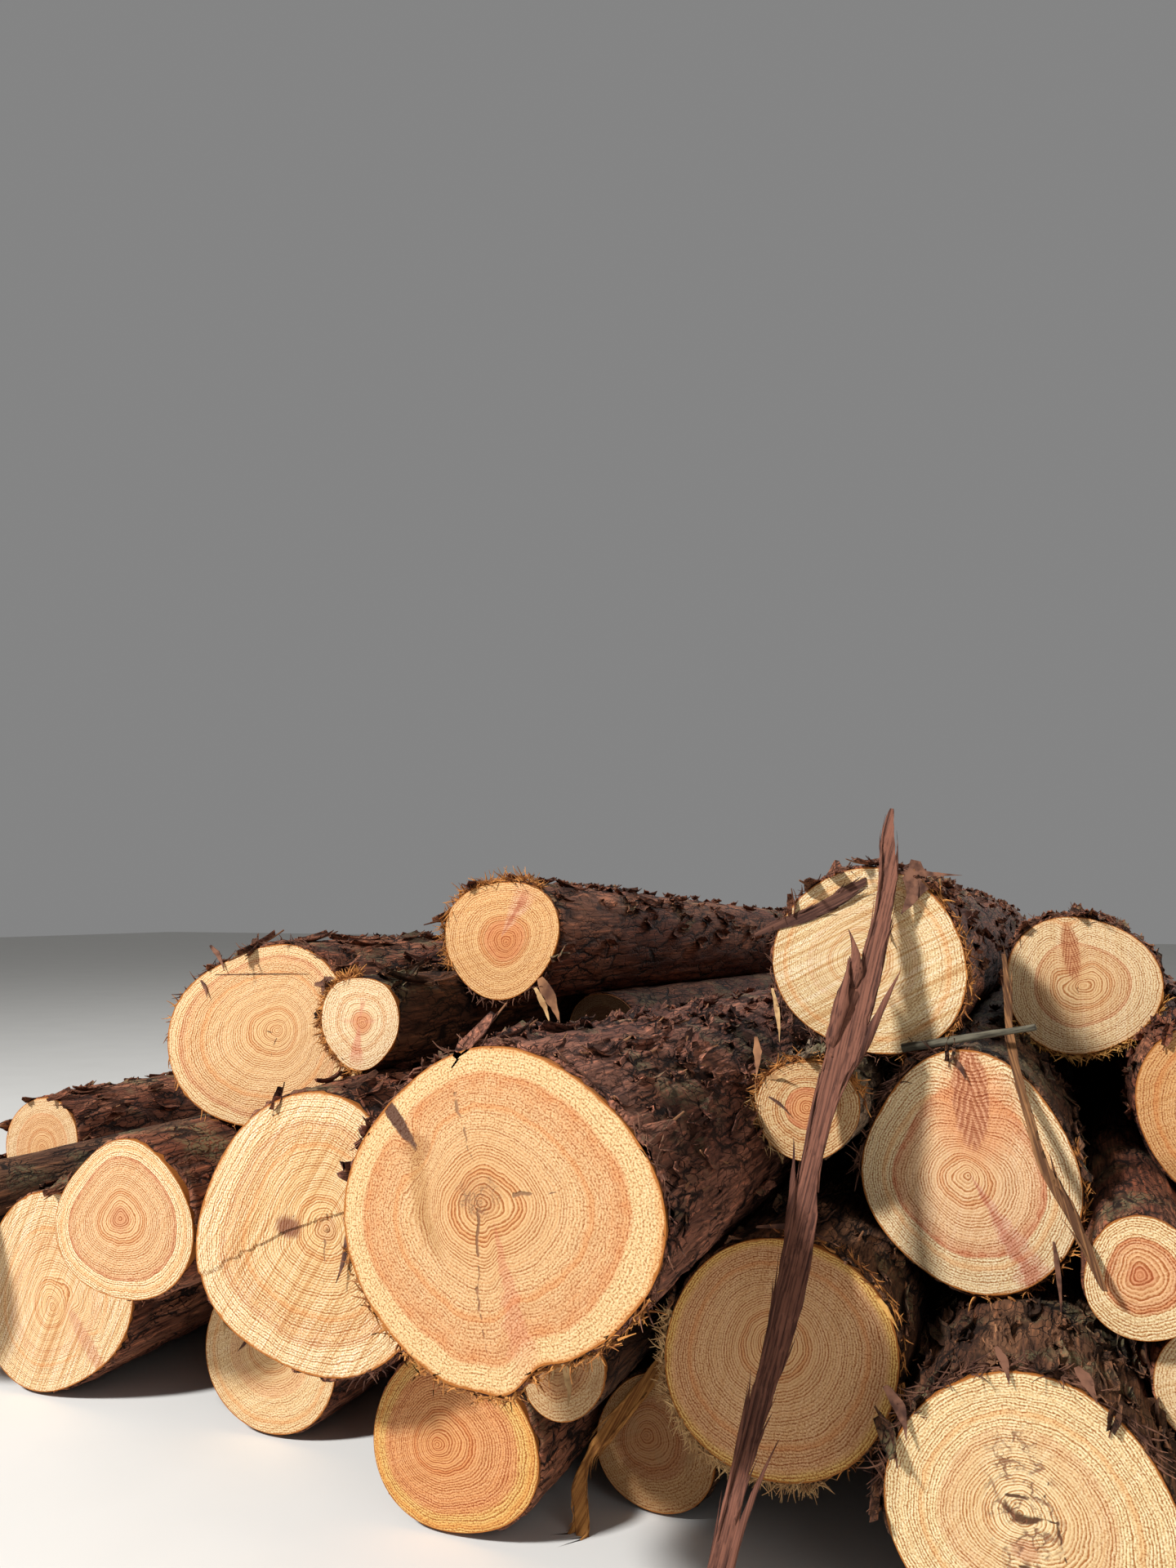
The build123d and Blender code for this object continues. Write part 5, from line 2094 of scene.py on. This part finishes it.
LONG_STRIP_SHARDS = (
    Shard(0.04, 1.0, 0.30, 0.010, 0.030, 0.0),
    Shard(0.42, -1.0, 0.18, 0.008, 0.020, 0.01),
    Shard(0.62, 1.0, 0.22, 0.012, 0.035, 0.0),
    Shard(0.66, -1.0, 0.16, 0.016, 0.020, 0.02),
    Shard(0.70, -1.0, 0.12, 0.018, 0.028, -0.01),
    Shard(0.74, -1.0, 0.10, 0.014, 0.035, 0.02),
)


@dataclass(frozen=True)
class Lamp:
    """A soft square light that shines at the front of the stack."""

    name: str
    place: tuple[float, float, float]
    size: float
    power: float


@dataclass
class Studio:
    """Floor, lights and camera."""

    camera_place: tuple[float, float, float] = (1.207, -4.054, 1.081)
    camera_tilt: float = 95.91
    camera_turn: float = 22.71
    lens: float = 26.37
    sensor: float = 36.0
    floor_size: float = 60.0
    lit_place: tuple[float, float, float] = (0.0, -1.6, 0.5)
    lamps: tuple[Lamp, ...] = (
        Lamp("key", (-3.4, -8.0, 6.4), 1.0, 1240.0),
        Lamp("fill", (5.5, -6.0, 3.5), 4.0, 50.0),
        Lamp("rear", (3.5, 7.5, 6.0), 4.0, 450.0),
    )
    surround: float = 0.86
    surround_strength: float = 0.27

    def build(self) -> None:
        """Put up the floor, the lights and the camera."""
        self.build_floor()
        self.build_lights()
        self.build_camera()

    def build_floor(self) -> None:
        """A plain pale floor just under the logs."""
        half = self.floor_size / 2
        mesh = bpy.data.meshes.new("floor")
        mesh.from_pydata(
            [(-half, -half, 0), (half, -half, 0), (half, half, 0), (-half, half, 0)], [], [(0, 1, 2, 3)],
        )
        floor = new_object("floor", mesh)
        desk = Finish("pale_floor", 0.8)
        speckle = desk.noise(desk.place(), 3.0, 3.0)
        mesh.materials.append(desk.paint(desk.mix(speckle, (0.66, 0.65, 0.62), (0.72, 0.71, 0.68))))
        floor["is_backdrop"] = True

    def build_lights(self) -> None:
        """A soft key from the upper left in front, a weak fill, a light from behind and a pale surround."""
        for lamp in self.lamps:
            light = bpy.data.lights.new(lamp.name, "AREA")
            light.size = lamp.size
            light.energy = lamp.power
            source = bpy.data.objects.new(lamp.name, light)
            source.location = lamp.place
            aim = Vector(self.lit_place) - Vector(lamp.place)
            source.rotation_euler = aim.to_track_quat("-Z", "Y").to_euler()
            bpy.context.scene.collection.objects.link(source)
        world = bpy.data.worlds.new("pale_surround")
        world.use_nodes = True
        background = world.node_tree.nodes["Background"]
        background.inputs["Color"].default_value = (self.surround, self.surround, self.surround, 1.0)
        background.inputs["Strength"].default_value = self.surround_strength
        bpy.context.scene.world = world
        bpy.context.scene.view_settings.view_transform = "Standard"

    def build_camera(self) -> None:
        """A camera at the photograph's viewing angle."""
        data = bpy.data.cameras.new("camera")
        data.lens = self.lens
        data.sensor_width = self.sensor
        camera = bpy.data.objects.new("camera", data)
        camera.location = self.camera_place
        camera.rotation_euler = (math.radians(self.camera_tilt), 0.0, math.radians(self.camera_turn))
        bpy.context.scene.collection.objects.link(camera)
        bpy.context.scene.camera = camera


def main() -> None:
    """Build every sub-assembly in order."""
    logging.basicConfig(level=logging.INFO, format="%(message)s")
    relief, flakes, fibres, fray = ReliefTree(), FlakeTree(), FibreTree(), StripTree()
    for seed, look in enumerate(LOOKS, start=1):
        DressedLog(look, seed, relief, flakes, fibres).build()
    for strip in (
        LooseStrip("bark_strip_long", "loose_bark", STRIP_PURPLE, 0.014, 44, 0.24, LONG_STRIP_SHARDS),
        LooseStrip("bark_strip_dark", "loose_bark", STRIP_DARK, 0.006, 14, 0.10),
        LooseStrip("bark_strip_thin", "loose_bark", STRIP_BROWN, 0.006, 12, 0.10),
        LooseStrip("bark_strip_gold", "inner_bark", STRIP_GOLD, 0.008, 26, 0.16),
        LooseStrip("stick_grey", "grey_stick", STICK_GREY, 0.004),
    ):
        strip.build(fray)
    Studio().build()


if __name__ == "__main__":
    main()
